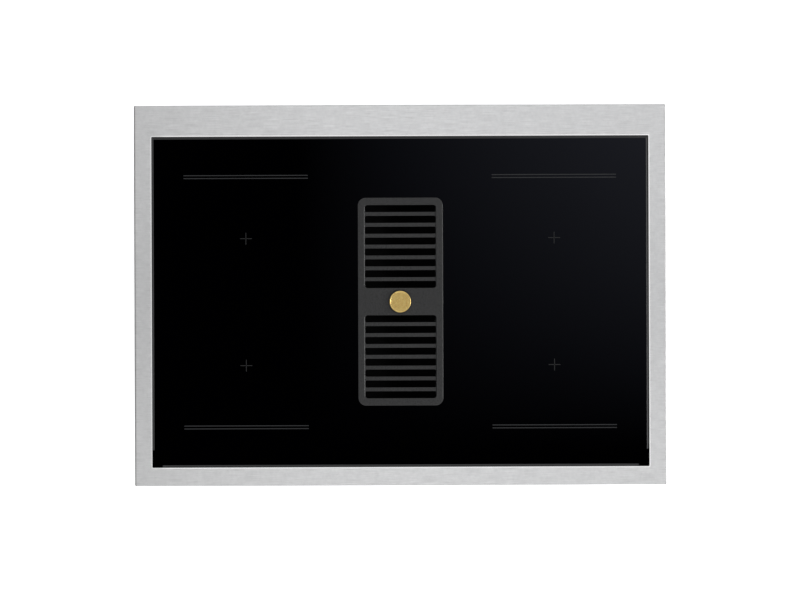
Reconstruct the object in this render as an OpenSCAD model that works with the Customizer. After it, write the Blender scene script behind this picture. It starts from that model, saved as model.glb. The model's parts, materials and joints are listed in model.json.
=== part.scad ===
// Free-standing induction range cooker with a downdraft extractor in the cooking surface.
// The origin is on the floor under the middle of the worktop. The front faces -Y.

/* [Worktop] */
// Width of the worktop
top_w = 900; // [880:10:1000]
// Depth of the worktop
top_d = 644; // [636:2:680]
// Height of the cooking surface above the floor
top_z = 900; // [890:5:930]
// Height of the folded skirt round the worktop
skirt_h = 45; // [40:1:50]
// Thickness of the worktop sheet
top_sheet = 2; // [1.5:0.25:2.5]
// Radius of the worktop's outer corners
top_corner_r = 1.5; // [1:0.5:6]
// Steel border at each side of the glass
side_border = 29.3; // [26:0.1:36]
// Steel border in front of the glass
front_border = 31.5; // [28:0.1:36]
// Steel border behind the glass
rear_border = 53.5; // [48:0.1:58]
// How far the worktop stands out in front of the control panel
front_overhang = 50; // [46:1:54]
// How far the worktop stands out behind the back panel
rear_overhang = 32; // [31:0.5:36]

/* [Glass] */
// Thickness of the glass
glass_t = 6; // [5:0.5:7]
// Width of the bevel on the glass edge
glass_bevel = 2.8; // [1:0.2:4]
// Height of the bevel on the glass edge
glass_bevel_h = 1.2; // [0.6:0.1:2]
// Width of the seal seen between glass and steel
seal_w = 1.2; // [0.8:0.1:2]
// Thickness of the seal under the glass
seal_t = 2; // [1.5:0.25:3]
// How far the seal lies below the surface
seal_drop = 0.4; // [0.2:0.1:1]
// Width of the ledge that carries the glass
ledge_w = 14; // [12:0.5:18]

/* [Induction zones] */
// Distance of each zone pair from the middle
zone_x = 261; // [245:1:263]
// Distance of each coil from the glass centre line
zone_dy = 107.5; // [104:0.5:109]
// Width of a coil
coil_w = 190; // [160:2:210]
// Length of a coil
coil_l = 194; // [160:2:196]
// Thickness of a coil
coil_t = 7; // [5:0.5:9]
// Corner radius of a coil
coil_r = 34; // [30:1:60]
// Gap between a coil and the glass
coil_gap = 1; // [0.5:0.25:2]
// Depth of the trays below the ledge
tray_h = 75; // [70:1:80]
// Thickness of the tray sheet
tray_sheet = 1.2; // [1:0.1:1.5]

/* [Extraction grille] */
// Width of the grille
grille_w = 144; // [140:1:150]
// Thickness of the grille frame
grille_t = 6; // [5:0.5:8]
// Outer corner radius of the grille
grille_r = 13; // [8:0.5:18]
// Width of the frame along each long side
side_band = 11.9; // [10:0.1:14]
// Width of the frame at the front and rear ends
end_band = 12.4; // [10:0.1:15]
// Width of the band across the middle
mid_band = 46.3; // [44:0.1:52]
// Corner radius of the grille openings
opening_r = 4.6; // [2:0.2:6]
// Number of slats in each half
slats = 7; // [6:1:7]
// Width of a slat
slat_w = 6.9; // [5:0.1:7.5]
// Width of a slot between slats
slot_w = 11.5; // [10:0.1:12]
// How far the slats lie below the frame
slat_drop = 2; // [0:0.5:3]
// Overlap of the grille on the glass all round the cut-out
grille_lap = 7; // [5:0.5:9]
// Radius of the brass knob
brass_r = 19; // [16:0.5:21]
// Height of the brass knob's neck
brass_neck_h = 2; // [1:0.5:4]
// Height of the brass knob's head
brass_head_h = 4; // [3:0.5:6]
// Height of the rim on the brass knob
brass_rim_h = 1; // [0.5:0.25:1.5]

/* [Downdraft] */
// Gap between the filter cassette and the cut-out
cassette_gap = 5; // [3:0.5:7]
// Height of the filter cassette
cassette_h = 84; // [60:2:86]
// Depth of the plenum below the glass
plenum_h = 94; // [92:1:98]
// Sheet thickness of the plenum and duct
duct_sheet = 1.5; // [1:0.25:2]
// Width of the neck inside
neck_w = 110; // [100:2:116]
// Width of the rear duct inside
duct_w = 210; // [190:2:220]
// Depth of the rear duct inside
duct_d = 65; // [58:1:66]
// Radius of the blower wheel
wheel_r = 62; // [56:1:64]
// Height of the blower wheel's vanes
vane_h = 68; // [55:1:72]
// Number of vanes on the blower wheel
vanes = 28; // [16:2:32]
// Inner radius of the blower scroll
scroll_r = 90; // [88:1:92]
// Outer radius of the outlet spigot
spigot_r = 62; // [60:0.5:62]
// Length of the outlet spigot beyond its flange
spigot_len = 28; // [24:1:28]

/* [Carcass] */
// Height of the base above the floor
base_z = 110; // [105:1:115]
// Thickness of the base panel
base_t = 2; // [1.5:0.25:3]
// Thickness of the side and back panels
panel_t = 1.5; // [1.2:0.1:2]
// Gap between a side panel and the edge of the worktop
side_inset = 4; // [3.5:0.5:8]
// Width of the panel flanges
flange_w = 20; // [16:1:22]
// Thickness of the front frame
frame_t = 3; // [2:0.5:4]
// Radius of a leg
leg_r = 22; // [18:1:28]
// Distance of each leg from the side panel
leg_inset = 44.5; // [38:0.5:60]
// Radius of a foot pad
foot_r = 24; // [20:1:30]
// Radius of a foot's stem
foot_stem_r = 8; // [6:0.5:10]
// How far a foot can be wound out
foot_travel = 30; // [20:1:32]

/* [Control panel] */
// Height of the control panel
ctrl_h = 100; // [90:1:110]
// Gap above and below the control panel
ctrl_gap = 3; // [2:0.5:5]
// Radius of a control knob
knob_r = 21; // [18:0.5:23]
// How far a knob stands out
knob_len = 31; // [24:1:34]
// Distance between neighbouring knobs
knob_pitch = 95; // [80:1:98]
// Distance of the inner knobs from the middle
knob_x = 130; // [120:1:134]
// Radius of a knob's stem
stem_r = 3; // [2.5:0.25:4]
// Width of the clock display
clock_w = 140; // [120:2:160]
// Height of the clock display
clock_h = 50; // [40:1:54]

/* [Oven] */
// Width of the oven inside
cavity_w = 660; // [620:2:680]
// Depth of the oven inside
cavity_d = 403; // [399:1:404]
// Sheet thickness of the oven
cavity_sheet = 1.5; // [1:0.25:2]
// Thickness of the insulation
insul_t = 25; // [20:1:26]
// Distance of each oven fan from the middle
fan_x = 150; // [146:1:160]
// Radius of an oven fan
fan_r = 75; // [65:1:80]
// Radius of a ring element
ring_r = 92; // [90:1:96]
// Radius of a heating tube
tube_r = 3.5; // [3:0.25:4]
// Number of rack levels
levels = 5; // [4:1:5]
// Height between rack levels
level_pitch = 62; // [56:1:64]
// Thickness of the fan cover's space
fan_space = 35; // [33:1:38]

/* [Door] */
// Thickness of the door
door_t = 36; // [34:0.5:38]
// How far the door lies behind the control panel's face
door_setback = 6; // [4:0.5:8]
// Gap between door and front frame for the seal
gasket_gap = 9; // [8:0.5:10]
// Width of the door window
window_w = 600; // [520:5:610]
// Height of the door window
window_h = 300; // [240:5:320]
// Radius of the handle bar
handle_r = 11; // [9:0.5:12]
// Length of the handle bar
handle_l = 800; // [700:10:830]
// Distance of the handle's axis in front of the door
handle_out = 35; // [32:0.5:38]
// Radius of the hinge pin
hinge_pin_r = 4; // [3:0.25:4.5]
// Radius of the hinge eye
hinge_eye_r = 8; // [7:0.25:8.5]

/* [Drawer] */
// Height of the drawer front
drawer_h = 124; // [116:1:126]
// Height of the drawer front's lower edge above the base
drawer_lift = 6; // [4:1:8]
// Depth of the drawer
drawer_l = 320; // [280:5:325]
// Travel of the drawer
drawer_travel = 220; // [180:5:225]
// Thickness of the drawer front
drawer_front_t = 20; // [16:1:24]

/* [Hidden] */
$fn = 48;
// Gap between a resting piece and its seat
rest_gap = 0.3;
// Radial clearance of a shaft in its bore
run_gap = 0.05;
// Overlap used to cut cleanly through a face
cut = 1;

// Worktop and glass
opening_w = top_w - 2 * side_border;
opening_l = top_d - front_border - rear_border;
glass_y = (front_border - rear_border) / 2;
glass_z0 = top_z - glass_t;
seal_z0 = glass_z0 - seal_t;
ledge_z0 = seal_z0 - top_sheet;
skirt_z0 = top_z - skirt_h;

// Grille and its cut-out
half_opening = slats * slat_w + (slats + 1) * slot_w;
half_y = mid_band / 2 + half_opening / 2;
grille_l = 2 * (end_band + half_opening) + mid_band;
cut_w = grille_w - 2 * grille_lap;
cut_l = grille_l - 2 * grille_lap;
cut_r = 6;
grille_z0 = top_z + rest_gap;
grille_z1 = grille_z0 + grille_t;
brass_neck_r = brass_r - 5;
brass_rim_w = 2.2;

// Carcass planes
panel_y = front_overhang - top_d / 2;
door_y0 = panel_y + door_setback;
door_y1 = door_y0 + door_t;
frame_y0 = door_y1 + gasket_gap;
frame_y1 = frame_y0 + frame_t;
back_y1 = top_d / 2 - rear_overhang;
back_y0 = back_y1 - panel_t;
side_x1 = top_w / 2 - side_inset;
side_x0 = side_x1 - panel_t;
flange_x0 = side_x0 - flange_w;
base_top = base_z + base_t;
front_w = side_x0 - 0.5;

// Control panel, door and drawer heights
ctrl_z1 = skirt_z0 - ctrl_gap;
ctrl_z0 = ctrl_z1 - ctrl_h;
knob_z = (ctrl_z0 + ctrl_z1) / 2;
knob_xs = [for (i = [0:2]) knob_x + i * knob_pitch];
drawer_z0 = base_z + drawer_lift;
drawer_z1 = drawer_z0 + drawer_h;
hinge_y = door_y1 - 7;
hinge_up = 12;
// Reach of the door's lower front corner round the hinge, with room to spare
door_sweep = ceil(norm([door_t - 7, hinge_up]) + 4);
door_z0 = drawer_z1 + door_sweep - hinge_up;
door_z1 = ctrl_z0 - 2 * ctrl_gap;
hinge_z = door_z0 + hinge_up;
insul_x = cavity_w / 2 + cavity_sheet + insul_t;
// How far the hinges lie outward from the middle of the space beside the oven
hinge_shift = 4.5;
hinge_x = (insul_x + side_x0) / 2 + hinge_shift;
receiver_w = 24;
receiver_h = 32;
receiver_t = 4;
hinge_plate = 6;
hinge_gap = 0.5;
cheek_w = 6;
door_skin = 1.5;
door_glass_t = 4;
window_z = (door_z0 + door_z1) / 2 - 5;
handle_y = door_y0 - handle_out;
handle_z = door_z1 - 34;
handle_post_in = 40;
handle_post_x = handle_l / 2 - handle_post_in;
handle_post_r = 8;
handle_foot_r = 13;
handle_foot_t = 4;

// Oven
cavity_x = cavity_w / 2;
cavity_y1 = frame_y1 + cavity_d;
cavity_z0 = door_z0 + 34;
cavity_z1 = door_z1 - 46;
cavity_back = cavity_y1 + cavity_sheet;
insul_y1 = cavity_back + insul_t;
insul_z0 = cavity_z0 - cavity_sheet - insul_t;
fan_z = (cavity_z0 + cavity_z1) / 2;
cover_y = cavity_y1 - fan_space;
cover_x = fan_x + ring_r + 18;
cover_h = 2 * ring_r + 26;
fan_shaft_r = 4;
shaft_hole_r = 7;
motor_r = 32;
motor_l = 42;
lead_hole_r = tube_r + 0.1;
wall_gasket_w = 9;
rack_wire_r = 3;
rack_post_x = cavity_x - rack_wire_r;
rack_rail_in = 5;
rack_rail_x = rack_post_x - rack_rail_in;
rack_post_inset = 20;
rack_post_rise = 24;
rack_rail_inset = 4;
rack_rail_gap = 18;
rack_half = rack_post_x - rack_wire_r - 0.5;
rack_y0 = frame_y1 + 14;
rack_y1 = cover_y - 10;
first_level = 46;
rack_level = 3;
tray_level = 1;
tray_rim = 12;
tray_depth = 22;
bake_sheet = 1.2;
rack_bar_r = 2.5;
rack_wire_r2 = 1.5;
grill_z = cavity_z1 - 18;
grill_pitch = 70;
grill_runs = 8;
grill_y0 = frame_y1 + 50;
grill_rear_gap = 30;
grill_tie_inset = 20;
grill_tie_r = 2;
lamp_r = 17;
lamp_rim = 4;
lamp_dome = 12;
lamp_x = cavity_x - 42;
lamp_z = cavity_z1 - 40;

// Trays, boards and coils
tray_x0 = cut_w / 2 + 15;
tray_x1 = opening_w / 2 - ledge_w + 8;
tray_z0 = ledge_z0 - tray_h;
tray_y0 = frame_y1;
tray_y1 = glass_y + zone_dy + coil_l / 2 + 11;
coil_z1 = glass_z0 - coil_gap;
coil_z0 = coil_z1 - coil_t;
carrier_t = 2;
slot_inset = 40;
slot_pitch = 30;
slot_l = 18;
slot_h = 30;
slot_rise = 20;
board_w = 200;
board_l = 160;
board_t = 2;
board_lift = 6;
board_post_r = 4;
board_post_inset = 8;
sink_x = -70;
sink_w = 90;
sink_l = 120;
sink_h = 31;
sink_base = 6;
sink_fin_t = 3;
sink_pitch = 12;
cap_x = 60;
cap_pitch = 45;
cap_r = 14;
cap_h = 30;
board_x = (tray_x0 + tray_x1) / 2;

// Plenum, duct and blower
cassette_w = cut_w - 2 * cassette_gap;
cassette_l = cut_l - 2 * cassette_gap;
cassette_z0 = grille_z0 - cassette_h;
plenum_w = cut_w - 2;
plenum_l = cut_l - 2;
plenum_z0 = glass_z0 - plenum_h;
plenum_y1 = glass_y + plenum_l / 2;
neck_z0 = plenum_z0 + duct_sheet;
neck_z1 = neck_z0 + 73;
duct_mid = (insul_y1 + back_y0) / 2;
duct_y0 = duct_mid - duct_d / 2;
duct_y1 = duct_mid + duct_d / 2;
duct_z1 = neck_z1 + 3;
wheel_y = duct_y1 - scroll_r + 2;
scroll_wall = 2;
scroll_h = 2 * spigot_r;
scroll_z1 = base_top + scroll_h;
inlet_r = wheel_r - 12;
cowl_z1 = insul_z0 - 4;
cowl_y0 = wheel_y - inlet_r - 8;
cowl_x = inlet_r + 30;
spigot_x = spigot_r + 1;
spigot_z = base_top + spigot_r;
spigot_t = 1.5;
spigot_flange = 2;
wheel_z0 = base_top + 34;
blower_shaft_r = 5;
flap_y = plenum_y1 + 14;
flap_z = neck_z1 - 5;
flap_shaft_r = 2.5;

// Cooling fan on the back panel
cool_inset = 194.5;
cool_x = cool_inset - side_x0;
cool_z = tray_z0 - 20;
cool_size = 92;
cool_d = 25;
cool_r = 41;
cool_shaft_r = 2.5;

// Drawer runners
rail_h = 30;
rail_z = drawer_z0 + 49;
runner_h = 14;
runner_w = 6;
rail_l = drawer_travel + 80;
drawer_x = flange_x0 - 9.5;

// Legs, screws and rear fittings
leg_x = side_x0 - leg_inset;
leg_ys = [frame_y1 + 33, back_y0 - 33.5];
leg_foot_z = 22;
foot_grip = 47;
foot_pad_h = 10;
foot_nut_r = leg_r - 2;
leg_plate_w = 64;
leg_plate_d = 60;
leg_plate_t = 3;
foot_stem_z1 = leg_foot_z + foot_travel + foot_grip;
screw_head_r = 5;
screw_head_t = 2.5;
screw_grip = 5;
screw_r = 2;
screw_zs = [for (i = [0:3]) base_z + 50 + i * (top_z - base_z - 170) / 3];
screw_x = side_x0 - flange_w / 2;
tip_hole_r = 3.25;
tip_spacing = 400;
tip_z = top_z - 40;
box_inset = 104.5;
box_x = box_inset - side_x0;
box_w = 80;
box_h = 80;
box_d = 27;
box_rise = 70;
box_z = base_z + box_rise;
vent_x = side_x0 - cool_inset;
vent_z = base_z + 240;
vent_w = 120;
vent_h = 6;
vent_pitch = 16;
gland_r = 7;

// Block between two opposite corners
module block(low, high) {
  translate(low) cube(high - low);
}

// Round bar along X
module bar_x(x0, x1, y, z, r) {
  translate([x0, y, z]) rotate([0, 90, 0]) cylinder(r = r, h = x1 - x0);
}

// Round bar along Y
module bar_y(y0, y1, x, z, r) {
  translate([x, y0, z]) rotate([-90, 0, 0]) cylinder(r = r, h = y1 - y0);
}

// Flat rounded rectangle about the origin
module round_rect(w, l, r) {
  square([w - 2 * r, l], center = true);
  square([w, l - 2 * r], center = true);
  for (x = [-1, 1], y = [-1, 1])
    translate([x * (w / 2 - r), y * (l / 2 - r)]) circle(r);
}

// Upright prism of a rounded rectangle centred on the glass
module glass_prism(w, l, r, z0, z1) {
  translate([0, glass_y, z0]) linear_extrude(z1 - z0) round_rect(w, l, r);
}

// Block centred on the glass
module glass_block(w, l, z0, z1) {
  block([-w / 2, glass_y - l / 2, z0], [w / 2, glass_y + l / 2, z1]);
}

// Section of a plate whose upper edges are bevelled
function bevel_section(w, t, b, h) = [
  [-w / 2, 0], [w / 2, 0], [w / 2, t - h], [w / 2 - b, t], [b - w / 2, t], [-w / 2, t - h]
];

// Plate with all four upper edges bevelled
module bevelled_plate(w, l, t, b, h) {
  intersection() {
    translate([0, l / 2, 0]) rotate([90, 0, 0]) linear_extrude(l) polygon(bevel_section(w, t, b, h));
    translate([-w / 2, 0, 0]) rotate([90, 0, 90]) linear_extrude(w) polygon(bevel_section(l, t, b, h));
  }
}

// Folded steel worktop with its skirt and the ledge for the glass
module worktop_frame() {
  color("silver") union() {
    difference() {
      translate([0, 0, skirt_z0]) linear_extrude(skirt_h) round_rect(top_w, top_d, top_corner_r);
      block([top_sheet - top_w / 2, top_sheet - top_d / 2, skirt_z0 - cut],
            [top_w / 2 - top_sheet, top_d / 2 - top_sheet, top_z - top_sheet]);
      glass_block(opening_w, opening_l, top_z - 3 * top_sheet, top_z + cut);
    }
    difference() {
      glass_block(opening_w + 2 * top_sheet, opening_l + 2 * top_sheet, ledge_z0, top_z - top_sheet / 2);
      glass_block(opening_w, opening_l, seal_z0, top_z + cut);
      glass_block(opening_w - 2 * ledge_w, opening_l - 2 * ledge_w, ledge_z0 - cut, top_z);
    }
    block([top_sheet / 2 - top_w / 2, top_sheet / 2 - top_d / 2, skirt_z0],
          [top_w / 2 - top_sheet / 2, panel_y, skirt_z0 + top_sheet]);
  }
}

// Black glass with the cut-out for the grille
module glass_top() {
  color([0.03, 0.03, 0.04]) difference() {
    translate([0, glass_y, glass_z0])
      bevelled_plate(opening_w - 2 * seal_w, opening_l - 2 * seal_w, glass_t, glass_bevel, glass_bevel_h);
    glass_prism(cut_w, cut_l, cut_r, glass_z0 - cut, top_z + cut);
  }
}

// Seal under and round the glass
module glass_seal() {
  color([0.15, 0.15, 0.16]) difference() {
    glass_block(opening_w, opening_l, seal_z0, top_z - seal_drop);
    glass_block(opening_w - 2 * seal_w, opening_l - 2 * seal_w, glass_z0, top_z + cut);
    glass_block(opening_w - 2 * ledge_w + 4, opening_l - 2 * ledge_w + 4, seal_z0 - cut, top_z);
  }
}

// One tray with the shelves that carry its two coils
module coil_tray() {
  difference() {
    block([tray_x0, tray_y0, tray_z0], [tray_x1, tray_y1, ledge_z0]);
    block([tray_x0 + tray_sheet, tray_y0 + tray_sheet, tray_z0 + tray_sheet],
          [tray_x1 - tray_sheet, tray_y1 - tray_sheet, ledge_z0 + cut]);
    for (i = [0:8])
      block([tray_x0 + slot_inset + i * slot_pitch, tray_y1 - 2 * tray_sheet, tray_z0 + slot_rise],
            [tray_x0 + slot_inset + slot_l + i * slot_pitch, tray_y1 + cut, tray_z0 + slot_rise + slot_h]);
  }
  for (side = [-1, 1])
    block([tray_x0 + tray_sheet / 2, glass_y + side * zone_dy - coil_l / 2 + 8, coil_z0 - carrier_t],
          [tray_x1 - tray_sheet / 2, glass_y + side * zone_dy + coil_l / 2 - 8, coil_z0]);
}

// Left and right trays
module coil_trays() {
  color("lightgray") {
    coil_tray();
    mirror([1, 0, 0]) coil_tray();
  }
}

// Four flat coils, two to each flex zone
module induction_coils() {
  color("chocolate")
    for (x = [-zone_x, zone_x], y = [-zone_dy, zone_dy])
      translate([x, glass_y + y, coil_z0]) linear_extrude(coil_t) difference() {
        round_rect(coil_w, coil_l, coil_r);
        round_rect(60, 60, 15);
      }
}

// Circuit board with its heat sink and capacitors
module power_board() {
  translate([0, (tray_y0 + tray_y1) / 2, tray_z0 + tray_sheet]) {
    top = board_lift + board_t / 2;
    for (x = [-1, 1], y = [-1, 1])
      translate([x * (board_w / 2 - board_post_inset), y * (board_l / 2 - board_post_inset), 0])
        cylinder(r = board_post_r, h = top);
    translate([-board_w / 2, -board_l / 2, board_lift]) cube([board_w, board_l, board_t]);
    translate([sink_x, -sink_l / 2, top]) cube([sink_w, sink_l, sink_base]);
    for (i = [0:7])
      translate([sink_x + i * sink_pitch, -sink_l / 2, top + sink_base / 2])
        cube([sink_fin_t, sink_l, sink_h - sink_base / 2]);
    for (i = [-1:1])
      translate([cap_x, i * cap_pitch, top]) cylinder(r = cap_r, h = cap_h);
  }
}

// Left and right power boards
module power_boards() {
  color("darkgreen")
    for (x = [-board_x, board_x])
      translate([x, 0, 0]) power_board();
}

// Box under the grille, open at the top and at the neck
module extraction_plenum() {
  color("gainsboro") difference() {
    union() {
      glass_block(plenum_w + 2 * duct_sheet, plenum_l + 2 * duct_sheet, plenum_z0, glass_z0);
      glass_block(2 * (tray_x0 + tray_sheet), plenum_l + 30, ledge_z0, glass_z0);
    }
    glass_block(plenum_w, plenum_l, neck_z0, glass_z0 + cut);
    block([-neck_w / 2, plenum_y1 - cut, neck_z0], [neck_w / 2, plenum_y1 + duct_sheet + cut, neck_z1]);
  }
}

// Duct from the plenum down behind the oven to the blower inlet
module rear_duct() {
  neck_y = plenum_y1 + duct_sheet;
  color("gainsboro") difference() {
    union() {
      block([-neck_w / 2 - duct_sheet, neck_y, neck_z0 - duct_sheet],
            [neck_w / 2 + duct_sheet, duct_y0, neck_z1 + duct_sheet]);
      block([-duct_w / 2 - duct_sheet, duct_y0 - duct_sheet, scroll_z1],
            [duct_w / 2 + duct_sheet, duct_y1 + duct_sheet, duct_z1 + duct_sheet]);
      block([-cowl_x - duct_sheet, cowl_y0 - duct_sheet, scroll_z1],
            [cowl_x + duct_sheet, duct_y0, cowl_z1 + duct_sheet]);
    }
    block([-neck_w / 2, neck_y - cut, neck_z0], [neck_w / 2, duct_y0 + cut, neck_z1]);
    block([-duct_w / 2, duct_y0, scroll_z1 + duct_sheet], [duct_w / 2, duct_y1, duct_z1]);
    block([-cowl_x, cowl_y0, scroll_z1 + duct_sheet], [cowl_x, duct_y0 + cut, cowl_z1]);
    translate([0, wheel_y, scroll_z1 - cut]) cylinder(r = inlet_r, h = duct_sheet + 2 * cut);
    bar_x(-neck_w / 2 - 2 * duct_sheet, neck_w / 2 + 2 * duct_sheet, flap_y, flap_z,
          flap_shaft_r + run_gap);
  }
}

// Scroll outline of the blower, grown by a wall
module scroll_outline(wall) {
  translate([0, wheel_y]) circle(scroll_r + wall);
  translate([spigot_x - spigot_r + 1 - wall, wheel_y])
    square([2 * spigot_r - 2 + 2 * wall, back_y0 - wheel_y - scroll_wall + wall]);
}

// Blower scroll with its inlet on top and its outlet at the back panel
module blower_housing() {
  color("dimgray") difference() {
    translate([0, 0, base_top]) linear_extrude(scroll_h) scroll_outline(scroll_wall);
    translate([0, 0, base_top + scroll_wall]) linear_extrude(scroll_h - 2 * scroll_wall) scroll_outline(0);
    translate([0, wheel_y, scroll_z1 - 2 * scroll_wall]) cylinder(r = inlet_r, h = 3 * scroll_wall);
    bar_y(back_y0 - 3 * scroll_wall, back_y0 + cut, spigot_x, spigot_z, spigot_r - 3);
  }
}

// Flanged outlet on the back panel
module outlet_spigot() {
  flange_half = spigot_r + 1.5;
  color("silver") difference() {
    union() {
      block([spigot_x - flange_half, back_y1, spigot_z - flange_half],
            [spigot_x + flange_half, back_y1 + spigot_flange, spigot_z + flange_half]);
      bar_y(back_y1, back_y1 + spigot_flange + spigot_len, spigot_x, spigot_z, spigot_r);
    }
    bar_y(back_y1 - cut, back_y1 + spigot_flange + spigot_len + cut, spigot_x, spigot_z, spigot_r - spigot_t);
  }
}

// Motor behind the oven with the shaft that carries a fan
module oven_fan_motor(x) {
  bar_y(insul_y1, insul_y1 + motor_l, x, fan_z, motor_r);
  bar_y(cavity_y1 - 30, insul_y1 + cut, x, fan_z, fan_shaft_r);
}

// Motors of the oven fans, the blower and the cooling fan
module fan_motors() {
  color("slategray") {
    oven_fan_motor(-fan_x);
    oven_fan_motor(fan_x);
    translate([0, wheel_y, base_top + scroll_wall]) {
      cylinder(r = 34, h = 28);
      cylinder(r = blower_shaft_r, h = 56);
    }
    difference() {
      block([cool_x - cool_size / 2, back_y0 - cool_d, cool_z - cool_size / 2],
            [cool_x + cool_size / 2, back_y0, cool_z + cool_size / 2]);
      bar_y(back_y0 - cool_d - cut, back_y0 + cut, cool_x, cool_z, cool_r + 1);
    }
    for (turn = [0:3])
      translate([cool_x, back_y0 - 3, cool_z]) rotate([0, 45 + 90 * turn, 0])
        translate([0, 0, -2]) cube([cool_r + 3, 3, 4]);
    bar_y(back_y0 - 6, back_y0, cool_x, cool_z, 15);
    bar_y(back_y0 - cool_d + 3, back_y0 - 5, cool_x, cool_z, cool_shaft_r);
  }
}

// Right side panel with its front and rear flanges
module side_panel() {
  block([side_x0, frame_y0, base_z], [side_x1, back_y1, top_z - top_sheet]);
  difference() {
    block([flange_x0, frame_y1, base_top], [side_x0 + panel_t / 2, frame_y1 + panel_t, top_z - top_sheet]);
    block([hinge_x - receiver_w / 2 - rest_gap, frame_y1 - cut, hinge_z - receiver_h / 2 - rest_gap],
          [hinge_x + receiver_w / 2 + rest_gap, frame_y1 + panel_t + cut, hinge_z + receiver_h / 2 + rest_gap]);
  }
  difference() {
    block([flange_x0, back_y0 - panel_t, base_top], [side_x0 + panel_t / 2, back_y0, top_z - top_sheet]);
    for (z = screw_zs)
      bar_y(back_y0 - 2 * panel_t, back_y0 + cut, screw_x, z, screw_r + run_gap);
  }
}

module right_side_panel() {
  color("silver") side_panel();
}

module left_side_panel() {
  color("silver") mirror([1, 0, 0]) side_panel();
}

// Back panel with vents, duct hole and anti-tip holes
module back_panel() {
  color("lightgray") difference() {
    block([-side_x0, back_y0, base_z], [side_x0, back_y1, top_z - top_sheet]);
    bar_y(back_y0 - cut, back_y1 + cut, spigot_x, spigot_z, spigot_r - spigot_t);
    for (x = [-screw_x, screw_x], z = screw_zs)
      bar_y(back_y0 - cut, back_y1 + cut, x, z, screw_r + run_gap);
    for (x = [-1, 1])
      bar_y(back_y0 - cut, back_y1 + cut, x * tip_spacing / 2, tip_z, tip_hole_r);
    bar_y(back_y0 - cut, back_y1 + cut, box_x, box_z, 10);
    for (i = [0:6])
      block([cool_x - 34, back_y0 - cut, cool_z - 36 + i * 11],
            [cool_x + 34, back_y1 + cut, cool_z - 30 + i * 11]);
    for (i = [0:9], side = [-1, 1])
      block([side * vent_x - vent_w / 2, back_y0 - cut, vent_z + i * vent_pitch],
            [side * vent_x + vent_w / 2, back_y1 + cut, vent_z + vent_h + i * vent_pitch]);
  }
}

// Base panel between the side panels
module base_panel() {
  color("lightgray") block([-side_x0, frame_y1, base_z], [side_x0, back_y0, base_top]);
}

// Front frame round the oven mouth and the drawer
module front_frame() {
  color("silver") difference() {
    block([-side_x0, frame_y0, base_z], [side_x0, frame_y1, ledge_z0]);
    block([-cavity_x, frame_y0 - cut, cavity_z0], [cavity_x, frame_y1 + cut, cavity_z1]);
    block([-flange_x0, frame_y0 - cut, base_top + 4], [flange_x0, frame_y1 + cut, drawer_z1 - 8]);
    block([70 - side_x0, frame_y0 - cut, ctrl_z0 + 16], [side_x0 - 70, frame_y1 + cut, ctrl_z1 - 14]);
    for (x = [-hinge_x, hinge_x])
      block([x - hinge_plate / 2 - 0.1, frame_y0 - cut, hinge_z - hinge_eye_r - 0.1],
            [x + hinge_plate / 2 + 0.1, frame_y1 + cut, hinge_z + hinge_eye_r + 0.1]);
  }
}

// Folded control panel
module control_panel() {
  color("silver") difference() {
    block([-front_w, panel_y, ctrl_z0], [front_w, frame_y0, ctrl_z1]);
    block([panel_t - front_w, panel_y + panel_t, ctrl_z0 + panel_t],
          [front_w - panel_t, frame_y0 + cut, ctrl_z1 - panel_t]);
    for (x = knob_xs, side = [-1, 1])
      bar_y(panel_y - cut, panel_y + 2 * panel_t, side * x, knob_z, stem_r + 5);
    block([4 - clock_w / 2, panel_y - cut, knob_z - clock_h / 2 + 3],
          [clock_w / 2 - 4, panel_y + 2 * panel_t, knob_z + clock_h / 2 - 3]);
  }
}

// Rotary encoders behind the knobs
module knob_encoders() {
  color("darkslategray")
    for (x = knob_xs, side = [-1, 1])
      difference() {
        block([side * x - 13, panel_y + panel_t, knob_z - 13],
              [side * x + 13, panel_y + panel_t + 18, knob_z + 13]);
        bar_y(panel_y, panel_y + panel_t + 16, side * x, knob_z, stem_r + run_gap);
      }
}

// Touch clock in the middle of the control panel
module clock_display() {
  color([0.05, 0.05, 0.06]) union() {
    block([-clock_w / 2, panel_y - 1.5, knob_z - clock_h / 2], [clock_w / 2, panel_y, knob_z + clock_h / 2]);
    block([5 - clock_w / 2, panel_y - 1, knob_z - clock_h / 2 + 4],
          [clock_w / 2 - 5, panel_y + 16, knob_z + clock_h / 2 - 4]);
  }
}

// Knob that turns on its encoder, with a raised pointer bar
module control_knob(x) {
  gap = 0.7;
  color("silver") translate([x, panel_y, knob_z]) rotate([90, 0, 0]) union() {
    rotate_extrude()
      polygon([[0, gap], [knob_r, gap], [knob_r, gap + 4], [knob_r - 2, gap + 6],
               [knob_r - 3, knob_len - 1.5], [knob_r - 4.5, knob_len], [0, knob_len]]);
    translate([-1.5, knob_r * 0.2, knob_len - 1]) cube([3, knob_r * 0.55, 2.2]);
    translate([0, 0, -panel_t - 15]) cylinder(r = stem_r, h = panel_t + 16);
  }
}

module knob_zone_front_left() {
  control_knob(-knob_xs[2]);
}

module knob_zone_rear_left() {
  control_knob(-knob_xs[1]);
}

module knob_oven_mode() {
  control_knob(-knob_xs[0]);
}

module knob_oven_heat() {
  control_knob(knob_xs[0]);
}

module knob_zone_rear_right() {
  control_knob(knob_xs[1]);
}

module knob_zone_front_right() {
  control_knob(knob_xs[2]);
}

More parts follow.
